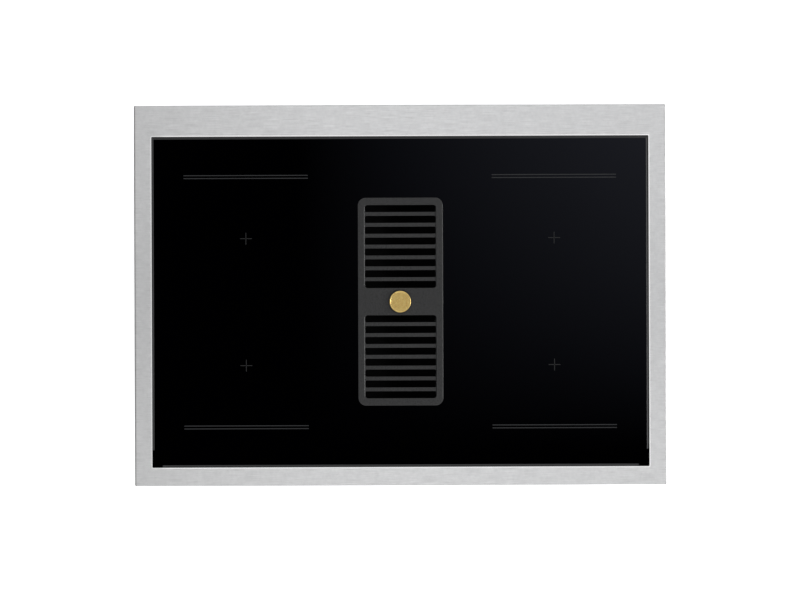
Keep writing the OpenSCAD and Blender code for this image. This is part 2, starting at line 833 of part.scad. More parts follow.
// Enamelled oven box with its front flange
module oven_cavity() {
  s = cavity_sheet;
  color([0.2, 0.2, 0.25]) difference() {
    union() {
      block([-cavity_x - s, frame_y1, cavity_z0 - s], [cavity_x + s, cavity_back, cavity_z1 + s]);
      block([-cavity_x - 20, frame_y1, cavity_z0 - 20], [cavity_x + 20, frame_y1 + s, cavity_z1 + 20]);
    }
    block([-cavity_x, frame_y1 - cut, cavity_z0], [cavity_x, cavity_y1, cavity_z1]);
    rear_wall_holes(shaft_hole_r, lead_hole_r, lamp_r + run_gap);
  }
}

// Holes through the back of the oven for shafts, leads and lamps
module rear_wall_holes(shaft, lead, lamp) {
  y0 = cavity_y1 - cut;
  y1 = insul_y1 + cut;
  for (side = [-1, 1]) {
    bar_y(y0, y1, side * fan_x, fan_z, shaft);
    bar_y(y0, y1, side * grill_pitch * (grill_runs - 1) / 2, grill_z, lead);
    bar_y(y0, y1, side * lamp_x, lamp_z, lamp);
    for (lean = [-1, 1])
      bar_y(y0, y1, side * fan_x + lean * 14, ring_lead_z(), lead);
  }
}

// Height of the ring elements' leads
function ring_lead_z() = fan_z + sqrt(ring_r * ring_r - 14 * 14);

// Mineral wool round the oven
module oven_insulation() {
  s = cavity_sheet;
  color("khaki") difference() {
    block([-insul_x, frame_y1 + s, insul_z0], [insul_x, insul_y1, cavity_z1 + s + insul_t]);
    block([-cavity_x - s, frame_y1, cavity_z0 - s], [cavity_x + s, cavity_back, cavity_z1 + s]);
    rear_wall_holes(shaft_hole_r, lead_hole_r, lamp_r + run_gap);
  }
}

// Height of a rack level's lower wire
function level_z(i) = cavity_z0 + first_level + (i - 1) * level_pitch;

// Wire ladder on the right wall of the oven
module rack_ladder() {
  r = rack_wire_r;
  for (y = [rack_y0 + rack_post_inset, rack_y1 - rack_post_inset])
    translate([rack_post_x, y, cavity_z0]) cylinder(r = r, h = level_z(levels) + rack_post_rise - cavity_z0);
  for (i = [1:levels], up = [0, rack_rail_gap])
    bar_y(rack_y0 + rack_rail_inset, rack_y1 - rack_rail_inset, rack_rail_x, level_z(i) + up, r - 0.5);
}

module rack_supports() {
  color("silver") {
    rack_ladder();
    mirror([1, 0, 0]) rack_ladder();
  }
}

// Heating tube looped under the roof of the oven
module grill_element() {
  first = -grill_pitch * (grill_runs - 1) / 2;
  y1 = cover_y - grill_rear_gap - grill_pitch / 2;
  y0 = grill_y0 + grill_pitch / 2;
  color("dimgray") union() {
    for (i = [0:grill_runs - 1])
      bar_y(y0, (i == 0 || i == grill_runs - 1) ? insul_y1 : y1, first + i * grill_pitch, grill_z, tube_r);
    for (i = [0:grill_runs - 2])
      translate([first + (i + 0.5) * grill_pitch, i % 2 == 0 ? y0 : y1, grill_z])
        rotate([0, 0, i % 2 == 0 ? 180 : 0]) rotate_extrude(angle = 180)
          translate([grill_pitch / 2, 0]) circle(tube_r);
    for (x = [-1.5, 1.5], y = [y0 + grill_tie_inset, y1 - grill_tie_inset])
      translate([x * grill_pitch, y, grill_z]) cylinder(r = grill_tie_r, h = cavity_z1 - grill_z);
    for (y = [y0 + grill_tie_inset, y1 - grill_tie_inset])
      bar_x(first, -first, y, grill_z, grill_tie_r);
  }
}

// Heating ring round one oven fan, with two leads through the rear wall
module ring_element(x) {
  open = asin(14 / ring_r);
  y = cavity_y1 - 17;
  translate([x, y, fan_z]) rotate([90, 0, 0]) rotate([0, 0, 90 + open])
    rotate_extrude(angle = 360 - 2 * open) translate([ring_r, 0]) circle(tube_r);
  for (lean = [-1, 1]) {
    bar_y(y, insul_y1, x + lean * 14, ring_lead_z(), tube_r);
    translate([x + lean * 14, y, ring_lead_z()]) sphere(tube_r + 0.8);
  }
}

module ring_elements() {
  color("dimgray") {
    ring_element(-fan_x);
    ring_element(fan_x);
  }
}

// Slotted cover over the two oven fans
module fan_cover() {
  s = 1.2;
  color([0.2, 0.2, 0.25]) difference() {
    block([-cover_x, cover_y, fan_z - cover_h / 2], [cover_x, cavity_y1, fan_z + cover_h / 2]);
    block([s - cover_x, cover_y + s, fan_z - cover_h / 2 + s],
          [cover_x - s, cavity_y1 + cut, fan_z + cover_h / 2 - s]);
    for (side = [-1, 1], turn = [0:11])
      translate([side * fan_x, cover_y - cut, fan_z]) rotate([0, 30 * turn, 0])
        translate([18, 0, -3]) cube([36, s + 2 * cut, 6]);
    for (side = [-1, 1], i = [0:3])
      block([side * (cover_x - 9) - 3, cover_y - cut, fan_z - 88 + i * 46],
            [side * (cover_x - 9) + 3, cover_y + s + cut, fan_z - 50 + i * 46]);
  }
}

// Lamps at the top corners of the oven's rear wall
module oven_lamps() {
  color("ivory")
    for (x = [-lamp_x, lamp_x]) {
      bar_y(cavity_y1 - lamp_dome, cavity_y1, x, lamp_z, lamp_r + lamp_rim);
      bar_y(cavity_y1 - cut, insul_y1 + lamp_dome, x, lamp_z, lamp_r);
    }
}

// Heat seal round the oven mouth
module door_gasket() {
  w = wall_gasket_w;
  color("dimgray") difference() {
    block([-cavity_x - w - 1, door_y1 + rest_gap, cavity_z0 - w], [cavity_x + w + 1, frame_y0, cavity_z1 + w + 1]);
    block([-cavity_x - 1, door_y1 - cut, cavity_z0 - 1], [cavity_x + 1, frame_y0 + cut, cavity_z1 + 1]);
  }
}

// Hinge plates that reach out through the front frame
module hinge_receivers() {
  color("gray")
    for (x = [-hinge_x, hinge_x])
      difference() {
        union() {
          bar_x(x - hinge_plate / 2, x + hinge_plate / 2, hinge_y, hinge_z, hinge_eye_r);
          block([x - hinge_plate / 2, hinge_y, hinge_z - hinge_eye_r],
                [x + hinge_plate / 2, frame_y1 + cut, hinge_z + hinge_eye_r]);
          block([x - receiver_w / 2, frame_y1, hinge_z - receiver_h / 2],
                [x + receiver_w / 2, frame_y1 + receiver_t, hinge_z + receiver_h / 2]);
        }
        bar_x(x - 10, x + 10, hinge_y, hinge_z, hinge_pin_r + run_gap);
      }
}

// Grooved rails on the side panels
module drawer_rail() {
  difference() {
    block([drawer_x + 0.5, frame_y1 + panel_t + 1, rail_z - rail_h / 2],
          [side_x0, frame_y1 + panel_t + 1 + rail_l, rail_z + rail_h / 2]);
    block([drawer_x, frame_y1, rail_z - runner_h / 2 - rest_gap],
          [drawer_x + runner_w + 0.5, frame_y1 + rail_l + 10, rail_z + runner_h / 2 + rest_gap]);
  }
}

module drawer_rails() {
  color("gray") {
    drawer_rail();
    mirror([1, 0, 0]) drawer_rail();
  }
}

// Leg tubes with their fixing plates
module legs() {
  color("silver")
    for (x = [-leg_x, leg_x], y = leg_ys)
      translate([x, y, 0]) difference() {
        union() {
          translate([0, 0, leg_foot_z]) cylinder(r = leg_r, h = base_z - leg_foot_z);
          translate([-leg_plate_w / 2, -leg_plate_d / 2, base_z - leg_plate_t])
            cube([leg_plate_w, leg_plate_d, leg_plate_t]);
        }
        translate([0, 0, leg_foot_z - cut]) cylinder(r = foot_stem_r + run_gap, h = foot_stem_z1 - leg_foot_z + 6);
      }
}

// Adjustable foot with its stem
module level_foot(x, y) {
  color("dimgray") translate([x, y, 0]) union() {
    cylinder(r = foot_r, h = foot_pad_h);
    translate([0, 0, foot_pad_h - 1]) cylinder(r = foot_nut_r, h = leg_foot_z - rest_gap - foot_pad_h + 1, $fn = 6);
    translate([0, 0, foot_pad_h - 1]) cylinder(r = foot_stem_r, h = foot_stem_z1 - foot_pad_h + 1);
  }
}

module foot_front_left() {
  level_foot(-leg_x, leg_ys[0]);
}

module foot_front_right() {
  level_foot(leg_x, leg_ys[0]);
}

module foot_rear_left() {
  level_foot(-leg_x, leg_ys[1]);
}

module foot_rear_right() {
  level_foot(leg_x, leg_ys[1]);
}

// Mains terminal box with a cable gland underneath
module terminal_box() {
  wall = 2.5;
  z0 = box_z - box_h / 2;
  gland_y = back_y1 + box_d / 2;
  color("dimgray") difference() {
    union() {
      block([box_x - box_w / 2, back_y1, z0], [box_x + box_w / 2, back_y1 + box_d, z0 + box_h]);
      translate([box_x, gland_y, z0 - 20]) cylinder(r = gland_r + 4.5, h = 21);
      translate([box_x, gland_y, z0 - 9]) cylinder(r = gland_r + 6, h = 10, $fn = 6);
    }
    block([box_x - box_w / 2 + wall, back_y1 - cut, z0 + wall],
          [box_x + box_w / 2 - wall, back_y1 + box_d - wall, z0 + box_h - wall]);
    translate([box_x, gland_y, z0 - 20 - cut]) cylinder(r = gland_r, h = 20 + wall + 2 * cut);
  }
}

// Screws of the back panel
module panel_screws() {
  color("silver")
    for (x = [-screw_x, screw_x], z = screw_zs)
      union() {
        bar_y(back_y0 - panel_t - screw_grip, back_y1 + cut, x, z, screw_r);
        bar_y(back_y1, back_y1 + screw_head_t, x, z, screw_head_r);
      }
}

// Slatted cast grille over the cut-out
module extraction_grille() {
  opening_w2 = grille_w - 2 * side_band;
  color([0.24, 0.24, 0.25]) union() {
    difference() {
      glass_prism(grille_w, grille_l, grille_r, grille_z0, grille_z1);
      for (side = [-1, 1])
        translate([0, glass_y + side * half_y, grille_z0 - cut]) linear_extrude(grille_t + 2 * cut)
          round_rect(opening_w2, half_opening, opening_r);
    }
    for (side = [-1, 1], i = [1:slats])
      translate([-opening_w2 / 2 - 1, glass_y + side * half_y - half_opening / 2 + i * slot_w + (i - 1) * slat_w,
                 grille_z0])
        cube([opening_w2 + 2, slat_w, grille_t - slat_drop]);
  }
}

// Turned brass knob that lifts the grille
module grille_knob() {
  z1 = brass_neck_h;
  z2 = z1 + brass_head_h;
  z3 = z2 + brass_rim_h;
  color("goldenrod") translate([0, glass_y, grille_z1]) rotate_extrude()
    polygon([[0, 0], [brass_neck_r, 0], [brass_neck_r, z1], [brass_r, z1 + 1], [brass_r, z3],
             [brass_r - brass_rim_w, z3], [brass_r - brass_rim_w - 0.6, z2], [0, z2]]);
}

// Filter cassette that hangs under the grille
module filter_cassette() {
  w = cassette_w;
  l = cassette_l;
  s = 1.2;
  z0 = cassette_z0;
  floor_z = z0 + s;
  color("silver") union() {
    difference() {
      glass_block(w, l, z0, grille_z0);
      glass_block(w - 2 * s, l - 2 * s, floor_z, grille_z0 + cut);
      for (i = [0:13])
        block([6 - w / 2, glass_y - l / 2 + 12 + i * (l - 24) / 14, z0 - cut],
              [w / 2 - 6, glass_y - l / 2 + 24 + i * (l - 24) / 14, floor_z + cut]);
    }
    translate([0, glass_y + l / 2 - s / 2, 0]) rotate([90, 0, 0]) linear_extrude(l - s) {
      for (side = [-1, 1])
        polygon([[side * (w / 2 - s / 2), grille_z0 - 12], [side * (w / 2 - s / 2), grille_z0 - 20],
                 [side * 4, floor_z + 2], [0, floor_z + 2], [0, floor_z + 10]]);
    }
  }
}

// Blower wheel with its ring of vanes
module blower_impeller() {
  color("dimgray") translate([0, wheel_y, wheel_z0]) union() {
    difference() {
      union() {
        cylinder(r = wheel_r, h = 2);
        cylinder(r = 14, h = 30);
      }
      translate([0, 0, -cut]) cylinder(r = blower_shaft_r + run_gap, h = 26);
    }
    for (i = [0:vanes - 1])
      rotate([0, 0, i * 360 / vanes]) translate([wheel_r - 11, -0.8, 1]) rotate([0, 0, 20])
        cube([10, 1.6, vane_h]);
    translate([0, 0, vane_h]) difference() {
      cylinder(r = wheel_r, h = 3);
      translate([0, 0, -cut]) cylinder(r = wheel_r - 11, h = 3 + 2 * cut);
    }
  }
}

// Flap that hangs in the neck and opens with the air flow
module backdraft_flap() {
  color("silver") union() {
    bar_x(0.1 - neck_w / 2 - duct_sheet, neck_w / 2 + duct_sheet - 0.1, flap_y, flap_z, flap_shaft_r);
    block([1 - neck_w / 2, flap_y - 0.6, neck_z0 + 1.5], [neck_w / 2 - 1, flap_y + 0.6, flap_z]);
  }
}

// Radial fan of the oven
module convection_fan(x) {
  y1 = cavity_y1 - 8;
  y0 = y1 - 19;
  color("silver") difference() {
    union() {
      bar_y(y1 - 1.5, y1, x, fan_z, fan_r);
      bar_y(y0, y1, x, fan_z, 14);
      for (i = [0:11])
        translate([x, y0, fan_z]) rotate([0, 30 * i, 0]) translate([fan_r - 30, 0, -0.75])
          cube([29, y1 - y0 - 0.5, 1.5]);
    }
    bar_y(y0 - cut, y1 + cut, x, fan_z, fan_shaft_r + run_gap);
  }
}

module convection_fan_left() {
  convection_fan(-fan_x);
}

module convection_fan_right() {
  convection_fan(fan_x);
}

// Axial rotor of the cooling fan
module cooling_fan() {
  y0 = back_y0 - cool_d + 1;
  y1 = back_y0 - 7;
  color("dimgray") difference() {
    union() {
      bar_y(y0, y1, cool_x, cool_z, 16);
      for (i = [0:6])
        translate([cool_x, (y0 + y1) / 2, cool_z]) rotate([0, i * 360 / 7, 0]) rotate([35, 0, 0])
          translate([12, -0.8, -7]) cube([cool_r - 14, 1.6, 14]);
    }
    bar_y(y0 + 1.5, y1 + cut, cool_x, cool_z, cool_shaft_r + run_gap);
  }
}

// Notch in the door round a hinge plate
module hinge_notches() {
  for (x = [-hinge_x, hinge_x])
    block([x - hinge_plate / 2 - 1, hinge_y - hinge_eye_r - 2, door_z0 - cut],
          [x + hinge_plate / 2 + 1, door_y1 + cut, hinge_z + hinge_eye_r + 3]);
}

// Block centred on the window
module window_block(w, h, y0, y1) {
  block([-w / 2, y0, window_z - h / 2], [w / 2, y1, window_z + h / 2]);
}

// Folded door front with its window opening
module door_frame() {
  liner_y = door_y1 - door_skin;
  color("silver") difference() {
    block([-front_w, door_y0, door_z0], [front_w, liner_y, door_z1]);
    block([door_skin - front_w, door_y0 + door_skin, door_z0 + door_skin],
          [front_w - door_skin, liner_y + cut, door_z1 - door_skin]);
    window_block(window_w, window_h, door_y0 - cut, door_y0 + 2 * door_skin);
    hinge_notches();
  }
}

// Inner sheet of the door
module door_liner() {
  color("dimgray") difference() {
    block([-front_w, door_y1 - door_skin, door_z0], [front_w, door_y1, door_z1]);
    window_block(window_w - 30, window_h - 20, door_y1 - 2 * door_skin, door_y1 + cut);
    hinge_notches();
  }
}

// Window glass behind the door front
module door_outer_glass() {
  color([0.1, 0.1, 0.12, 0.6])
    window_block(window_w + 50, window_h + 40, door_y0 + door_skin, door_y0 + door_skin + door_glass_t);
}

// Window glass in front of the door's inner sheet
module door_inner_glass() {
  color([0.1, 0.1, 0.12, 0.6])
    window_block(window_w + 20, window_h + 20, door_y1 - door_skin - door_glass_t, door_y1 - door_skin);
}

// Bar handle on two posts
module door_handle() {
  color("silver") union() {
    bar_x(-handle_l / 2, handle_l / 2, handle_y, handle_z, handle_r);
    for (x = [-handle_post_x, handle_post_x]) {
      bar_y(handle_y, door_y0, x, handle_z, handle_post_r);
      bar_y(door_y0 - handle_foot_t, door_y0, x, handle_z, handle_foot_r);
    }
  }
}

// Hinge cheeks and pins inside the door
module door_hinges() {
  inner = hinge_plate / 2 + hinge_gap;
  color("gray")
    for (x = [-hinge_x, hinge_x])
      union() {
        bar_x(x - inner - 1, x + inner + 1, hinge_y, hinge_z, hinge_pin_r);
        for (side = [-1, 1])
          translate([x + side * (inner + cheek_w / 2), 0, 0])
            block([-cheek_w / 2, hinge_y - 8, door_z0 + door_skin], [cheek_w / 2, door_y1 - door_skin, hinge_z + 60]);
      }
}

// Folded drawer front
module drawer_front() {
  y1 = door_y0 + drawer_front_t;
  color("silver") difference() {
    block([-front_w, door_y0, drawer_z0], [front_w, y1, drawer_z1]);
    block([door_skin - front_w, door_y0 + door_skin, drawer_z0 + door_skin],
          [front_w - door_skin, y1 + cut, drawer_z1 - door_skin]);
    block([-100, door_y0 + 8, drawer_z1 - 2 * door_skin], [100, y1 + cut, drawer_z1 + cut]);
  }
  color("silver")
    for (x = [-1, 1], web = [0.45, 0.9])
      block([x * web * drawer_x - 1, door_y0 + door_skin / 2, drawer_z0 + door_skin / 2],
            [x * web * drawer_x + 1, y1, drawer_z1 - door_skin / 2]);
}

// Drawer tray with its two runners
module drawer_box() {
  s = 1.5;
  y0 = door_y0 + drawer_front_t;
  y1 = y0 + drawer_l;
  z0 = drawer_z0 + 8;
  z1 = drawer_z1 - 15;
  color("lightgray") {
    difference() {
      block([-drawer_x, y0, z0], [drawer_x, y1, z1]);
      block([s - drawer_x, y0 + s, z0 + s], [drawer_x - s, y1 - s, z1 + cut]);
    }
    for (side = [-1, 1])
      translate([side * (drawer_x + runner_w / 2 - s / 4), 0, 0])
        block([-runner_w / 2 - s / 4, frame_y1 + 6, rail_z - runner_h / 2],
              [runner_w / 2 + s / 4, y1, rail_z + runner_h / 2]);
  }
}

// Wire shelf of the oven
module wire_rack() {
  r = rack_bar_r;
  z = level_z(rack_level) + rack_wire_r - 0.5 + rest_gap + r;
  color("silver") union() {
    for (side = [-1, 1])
      bar_y(rack_y0, rack_y1, side * (rack_half - r), z, r);
    for (y = [rack_y0 + r, rack_y1 - r])
      bar_x(r - rack_half, rack_half - r, y, z, r);
    for (x = [-rack_half + r, rack_half - r], y = [rack_y0 + r, rack_y1 - r])
      translate([x, y, z]) sphere(r);
    for (i = [1:19])
      bar_y(rack_y0 + r, rack_y1 - r, -rack_half + i * rack_half / 10, z, rack_wire_r2);
  }
}

// Baking tray with its rolled rim
module oven_tray() {
  z = level_z(tray_level) + rack_wire_r - 0.5 + rest_gap;
  rim = tray_rim;
  depth = tray_depth;
  s = bake_sheet;
  color([0.2, 0.2, 0.25]) difference() {
    union() {
      block([-rack_half, rack_y0, z], [rack_half, rack_y1, z + s]);
      block([rim - rack_half, rack_y0 + rim, z - depth], [rack_half - rim, rack_y1 - rim, z + s / 2]);
    }
    block([rim + s - rack_half, rack_y0 + rim + s, z - depth + s],
          [rack_half - rim - s, rack_y1 - rim - s, z + s + cut]);
  }
}

worktop_frame();
glass_top();
glass_seal();
coil_trays();
induction_coils();
power_boards();
extraction_plenum();
rear_duct();
blower_housing();
outlet_spigot();
fan_motors();
left_side_panel();
right_side_panel();
back_panel();
base_panel();
front_frame();
control_panel();
knob_encoders();
clock_display();
oven_cavity();
oven_insulation();
rack_supports();
grill_element();
ring_elements();
fan_cover();
oven_lamps();
door_gasket();
hinge_receivers();
drawer_rails();
legs();
terminal_box();
panel_screws();
extraction_grille();
grille_knob();
filter_cassette();
blower_impeller();
backdraft_flap();
convection_fan_left();
convection_fan_right();
cooling_fan();
knob_zone_front_left();
knob_zone_rear_left();
knob_oven_mode();
knob_oven_heat();
knob_zone_rear_right();
knob_zone_front_right();
door_frame();
door_liner();
door_outer_glass();
door_inner_glass();
door_handle();
door_hinges();
drawer_front();
drawer_box();
wire_rack();
oven_tray();
foot_front_left();
foot_front_right();
foot_rear_left();
foot_rear_right();
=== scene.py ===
import json
import math

import bmesh
import bpy
from mathutils import Matrix, Vector


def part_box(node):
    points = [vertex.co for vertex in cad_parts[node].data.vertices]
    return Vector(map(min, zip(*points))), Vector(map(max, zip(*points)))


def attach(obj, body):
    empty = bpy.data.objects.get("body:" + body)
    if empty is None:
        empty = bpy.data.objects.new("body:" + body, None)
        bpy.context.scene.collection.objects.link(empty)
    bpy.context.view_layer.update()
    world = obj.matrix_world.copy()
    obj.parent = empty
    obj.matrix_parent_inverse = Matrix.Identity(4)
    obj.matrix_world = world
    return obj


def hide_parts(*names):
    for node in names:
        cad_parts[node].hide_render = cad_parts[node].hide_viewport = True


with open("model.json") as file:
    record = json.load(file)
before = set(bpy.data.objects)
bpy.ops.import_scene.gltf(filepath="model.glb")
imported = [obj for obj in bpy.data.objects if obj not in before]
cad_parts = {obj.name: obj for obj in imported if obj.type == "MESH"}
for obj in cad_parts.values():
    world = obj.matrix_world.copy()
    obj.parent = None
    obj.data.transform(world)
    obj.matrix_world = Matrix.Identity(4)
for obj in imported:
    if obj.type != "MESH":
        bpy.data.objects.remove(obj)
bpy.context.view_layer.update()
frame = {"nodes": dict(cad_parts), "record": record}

print("stage: camera, lights and floor")

photoView = {
    "frame": (800, 600),        # pixels of the photograph
    "worktopWidth": 531.4,      # pixels across the worktop
    "middle": (400.2, 295.1),   # pixel of the worktop's middle
    "turn": 0.21,               # degrees anticlockwise
    "lens": 200.0,              # mm, long so that nothing leans
    "sensor": 36.0,
    "clip": (0.1, 100),
}


def at(x=0.0, y=0.0, z=0.0):
    return Matrix.Translation((x, y, z))


def linked(name, data):
    thing = bpy.data.objects.new(name, data)
    bpy.context.scene.collection.objects.link(thing)
    return thing


def makeCamera(view):
    low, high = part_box("worktop_frame")
    metresPerPixel = (high.x - low.x) / view["worktopWidth"]
    wide, tall = view["frame"]
    distance = view["lens"] / view["sensor"] * (wide * metresPerPixel)
    offset = Vector((wide / 2 - view["middle"][0], view["middle"][1] - tall / 2, 0)) * metresPerPixel
    data = bpy.data.cameras.new("photoCamera")
    data.lens = view["lens"]
    data.sensor_width = view["sensor"]
    data.clip_start, data.clip_end = view["clip"]
    camera = linked("photoCamera", data)
    turn = Matrix.Rotation(-math.radians(view["turn"]), 4, "Z")
    middle = Vector(((low.x + high.x) / 2, (low.y + high.y) / 2, high.z))
    camera.matrix_world = at(*(middle + Vector((0, 0, distance)))) @ turn @ at(*offset)
    bpy.context.scene.camera = camera


makeCamera(photoView)
bpy.context.scene.view_settings.view_transform = "Standard"
bpy.context.scene.view_settings.look = "None"


def addNode(tree, kind, inputs=None, **options):
    node = tree.nodes.new(kind)
    for key, value in options.items():
        setattr(node, key, value)
    for key, value in (inputs or {}).items():
        if isinstance(value, bpy.types.NodeSocket):
            tree.links.new(value, node.inputs[key])
        else:
            node.inputs[key].default_value = value
    return node


def mathOf(tree, kind, first, second):
    return addNode(tree, "ShaderNodeMath", {0: first, 1: second}, operation=kind).outputs[0]


def mixTones(tree, factor, first, second, blend="MIX"):
    inputs = {0: factor}
    for index, tone in ((6, first), (7, second)):
        inputs[index] = tone if isinstance(tone, bpy.types.NodeSocket) else (*tone, 1)
    return addNode(tree, "ShaderNodeMix", inputs, data_type="RGBA", blend_type=blend).outputs[2]


studio = {
    "seenTone": (0.93, 0.935, 0.945),
    "skyTone": (1.02, 1.022, 1.03),       # sky and horizon are what metal mirrors, not what the camera sees
    "horizonTone": (0.4, 0.41, 0.42),
    "leftTone": (0.1, 0.1, 0.11),
    "leftReach": (-0.35, -0.9),
    "skyRise": (0.25, 0.98),
    "skyStrength": 1.16,
    "glowTone": (0.247, 0.263, 0.34),     # what the glass mirrors at its rear right
    "darkTone": (0.0, 0.0, 0.001),
    "glowAcross": (-0.0226, 0.0598),
    "glowAlong": (-0.0332, 0.0385),
    "darkEdge": (0.972, 0.9955),          # cosines of the dark patch's soft edge
    "floorMirrored": (0.36, 0.36, 0.365, 1),
    "floorSize": 40.0,
    "floorShader": {"Base Color": (0.9, 0.9, 0.9, 1), "Roughness": 0.7, "Specular IOR Level": 0.1,
                    "Emission Color": (0.9, 0.9, 0.9, 1), "Emission Strength": 0.52},
}


def makeWorld(settings):
    world = bpy.data.worlds.new("studio")
    world.use_nodes = True
    bpy.context.scene.world = world
    tree = world.node_tree
    tree.nodes.clear()
    coords = addNode(tree, "ShaderNodeTexCoord").outputs["Generated"]
    parts = addNode(tree, "ShaderNodeSeparateXYZ", {0: coords}).outputs
    seen = addNode(tree, "ShaderNodeLightPath").outputs["Is Camera Ray"]

    def rampOf(axis, key, kind="LINEAR"):
        start, end = settings[key]
        inputs = {"Value": parts[axis], "From Min": start, "From Max": end}
        return addNode(tree, "ShaderNodeMapRange", inputs, interpolation_type=kind).outputs["Result"]

    horizon = mixTones(tree, rampOf("X", "leftReach"), settings["horizonTone"], settings["leftTone"])
    mirrored = mixTones(tree, rampOf("Z", "skyRise", "SMOOTHSTEP"), horizon, settings["skyTone"])
    sky = mixTones(tree, seen, mirrored, settings["seenTone"])
    rise = mathOf(tree, "MULTIPLY", rampOf("X", "glowAcross"), rampOf("Y", "glowAlong"))
    patch = mixTones(tree, rise, settings["darkTone"], settings["glowTone"])
    tone = mixTones(tree, rampOf("Z", "darkEdge", "SMOOTHSTEP"), sky, patch)
    glow = addNode(tree, "ShaderNodeBackground", {"Color": tone, "Strength": settings["skyStrength"]})
    addNode(tree, "ShaderNodeOutputWorld", {0: glow.outputs[0]})


def newMaterial(name, values):
    material = bpy.data.materials.new(name)
    material.use_nodes = True
    tree = material.node_tree
    shader = tree.nodes["Principled BSDF"]
    for socket, value in values.items():
        shader.inputs[socket].default_value = value
    return material, tree, shader


def makeFloor(settings):
    half = settings["floorSize"] / 2
    mesh = bpy.data.meshes.new("floor")
    mesh.from_pydata([(-half, -half, 0), (half, -half, 0), (half, half, 0), (-half, half, 0)], [],
                     [(0, 1, 2, 3)])
    material, tree, shader = newMaterial("paleFloor", settings["floorShader"])
    seen = addNode(tree, "ShaderNodeLightPath").outputs["Is Camera Ray"]
    mirrored = addNode(tree, "ShaderNodeBsdfDiffuse", {"Color": settings["floorMirrored"]})
    both = addNode(tree, "ShaderNodeMixShader", {0: seen, 1: mirrored.outputs[0], 2: shader.outputs[0]})
    tree.links.new(both.outputs[0], tree.nodes["Material Output"].inputs[0])
    mesh.materials.append(material)
    linked("floor", mesh)


lights = [
    {"name": "rearLight", "place": (0.3, 2.8, 3.0), "aim": (0, 0, 0.7), "size": (3.2, 1.6), "power": 11},
    {"name": "frontLight", "place": (0.5, -3.0, 3.1), "aim": (0, 0, 0.5), "size": (3.2, 1.6), "power": 24},
    {"name": "rightLight", "place": (2.7, -0.15, 2.6), "aim": (0, 0, 0.9), "size": (1.1, 0.9), "power": 44},
]


def makeLight(settings):
    data = bpy.data.lights.new(settings["name"], "AREA")
    data.shape = "RECTANGLE"
    data.size, data.size_y = settings["size"]
    data.energy = settings["power"]
    light = linked(settings["name"], data)
    light.location = settings["place"]
    aim = Vector(settings["aim"]) - Vector(settings["place"])
    light.rotation_euler = aim.to_track_quat("-Z", "Y").to_euler()


makeWorld(studio)
makeFloor(studio)
for settings in lights:
    makeLight(settings)

print("stage: finishes")


def newFinish(name, values):
    material, tree, shader = newMaterial(name, values)
    coords = addNode(tree, "ShaderNodeTexCoord")
    return material, tree, shader, coords.outputs["Object"]


def wear(tree, shader, colour, roughness):
    tree.links.new(colour, shader.inputs["Base Color"])
    tree.links.new(roughness, shader.inputs["Roughness"])


def noiseOn(tree, coords, scale, detail=3.0, roughness=0.5, shift=(0, 0, 0)):
    scale = (scale,) * 3 if isinstance(scale, float) else scale
    place = addNode(tree, "ShaderNodeMapping", {"Vector": coords, "Scale": scale, "Location": shift})
    return addNode(tree, "ShaderNodeTexNoise", {
        "Vector": place.outputs[0], "Scale": 1.0, "Detail": detail, "Roughness": roughness,
    }).outputs["Fac"]


def rampBetween(tree, factor, dark, light, low=0.3, high=0.7):
    ramp = addNode(tree, "ShaderNodeValToRGB", {"Fac": factor})
    for element, place, tone in zip(ramp.color_ramp.elements, (low, high), (dark, light)):
        element.position = place
        element.color = (*tone, 1)
    return ramp.outputs["Color"]


def spread(tree, factor, low, high):
    node = addNode(tree, "ShaderNodeMapRange", {
        "Value": factor, "From Min": 0.3, "From Max": 0.7, "To Min": low, "To Max": high,
    })
    return node.outputs["Result"]


def bumpOn(tree, shader, height, depth, strength=1.0):
    node = addNode(tree, "ShaderNodeBump", {"Height": height, "Distance": depth, "Strength": strength})
    tree.links.new(node.outputs["Normal"], shader.inputs["Normal"])


def grey(tone):
    return (tone,) * 3 if isinstance(tone, float) else tone


def scaled(tone, factor):
    return tuple(min(1.0, part * factor) for part in tone)


worktopHalf = {"X": 0.45, "Y": 0.322}


def toneAlong(tree, coords, axis, stops):
    parts = addNode(tree, "ShaderNodeSeparateXYZ", {0: coords})
    reach = worktopHalf[axis]
    inputs = {"Value": parts.outputs[axis], "From Min": -reach, "From Max": reach}
    along = addNode(tree, "ShaderNodeMapRange", inputs)
    ramp = addNode(tree, "ShaderNodeValToRGB", {"Fac": along.outputs["Result"]})
    for place, tone in stops[1:-1]:
        ramp.color_ramp.elements.new(place)
    for element, (place, tone) in zip(ramp.color_ramp.elements, stops):
        element.position = place
        element.color = (tone, tone, tone, 1)
    return ramp.outputs["Color"]


steelLook = {
    "stretch": 60, "clouds": 150.0, "shift": (3.1, 1.7, 0.4), "smooth": 0.04, "rough": 0.06,
    "depth": 0.00001,
}


def brushedSteel(name, tone, gloss, grain, lines=1300.0, streak=0.04, mottle=0.03, tones={}):
    material, tree, shader, coords = newFinish(name, {"Metallic": 1.0})
    tone, look = grey(tone), steelLook
    scale = [lines] * 3
    scale[grain] = lines / look["stretch"]
    streaks = noiseOn(tree, coords, scale, 3.0, 0.6)
    clouds = noiseOn(tree, coords, look["clouds"], 4.0, 0.6, look["shift"])
    colour = mixTones(tree, 1.0, rampBetween(tree, streaks, scaled(tone, 1 - streak), scaled(tone, 1 + streak)),
                      rampBetween(tree, clouds, grey(1 - mottle), grey(1.0)), "MULTIPLY")
    # each table multiplies painted light and shade into the colour along one axis
    for axis, stops in tones.items():
        colour = mixTones(tree, 1.0, colour, toneAlong(tree, coords, axis, stops), "MULTIPLY")
    wear(tree, shader, colour, spread(tree, streaks, gloss - look["smooth"], gloss + look["rough"]))
    bumpOn(tree, shader, streaks, look["depth"], 0.5)
    return material


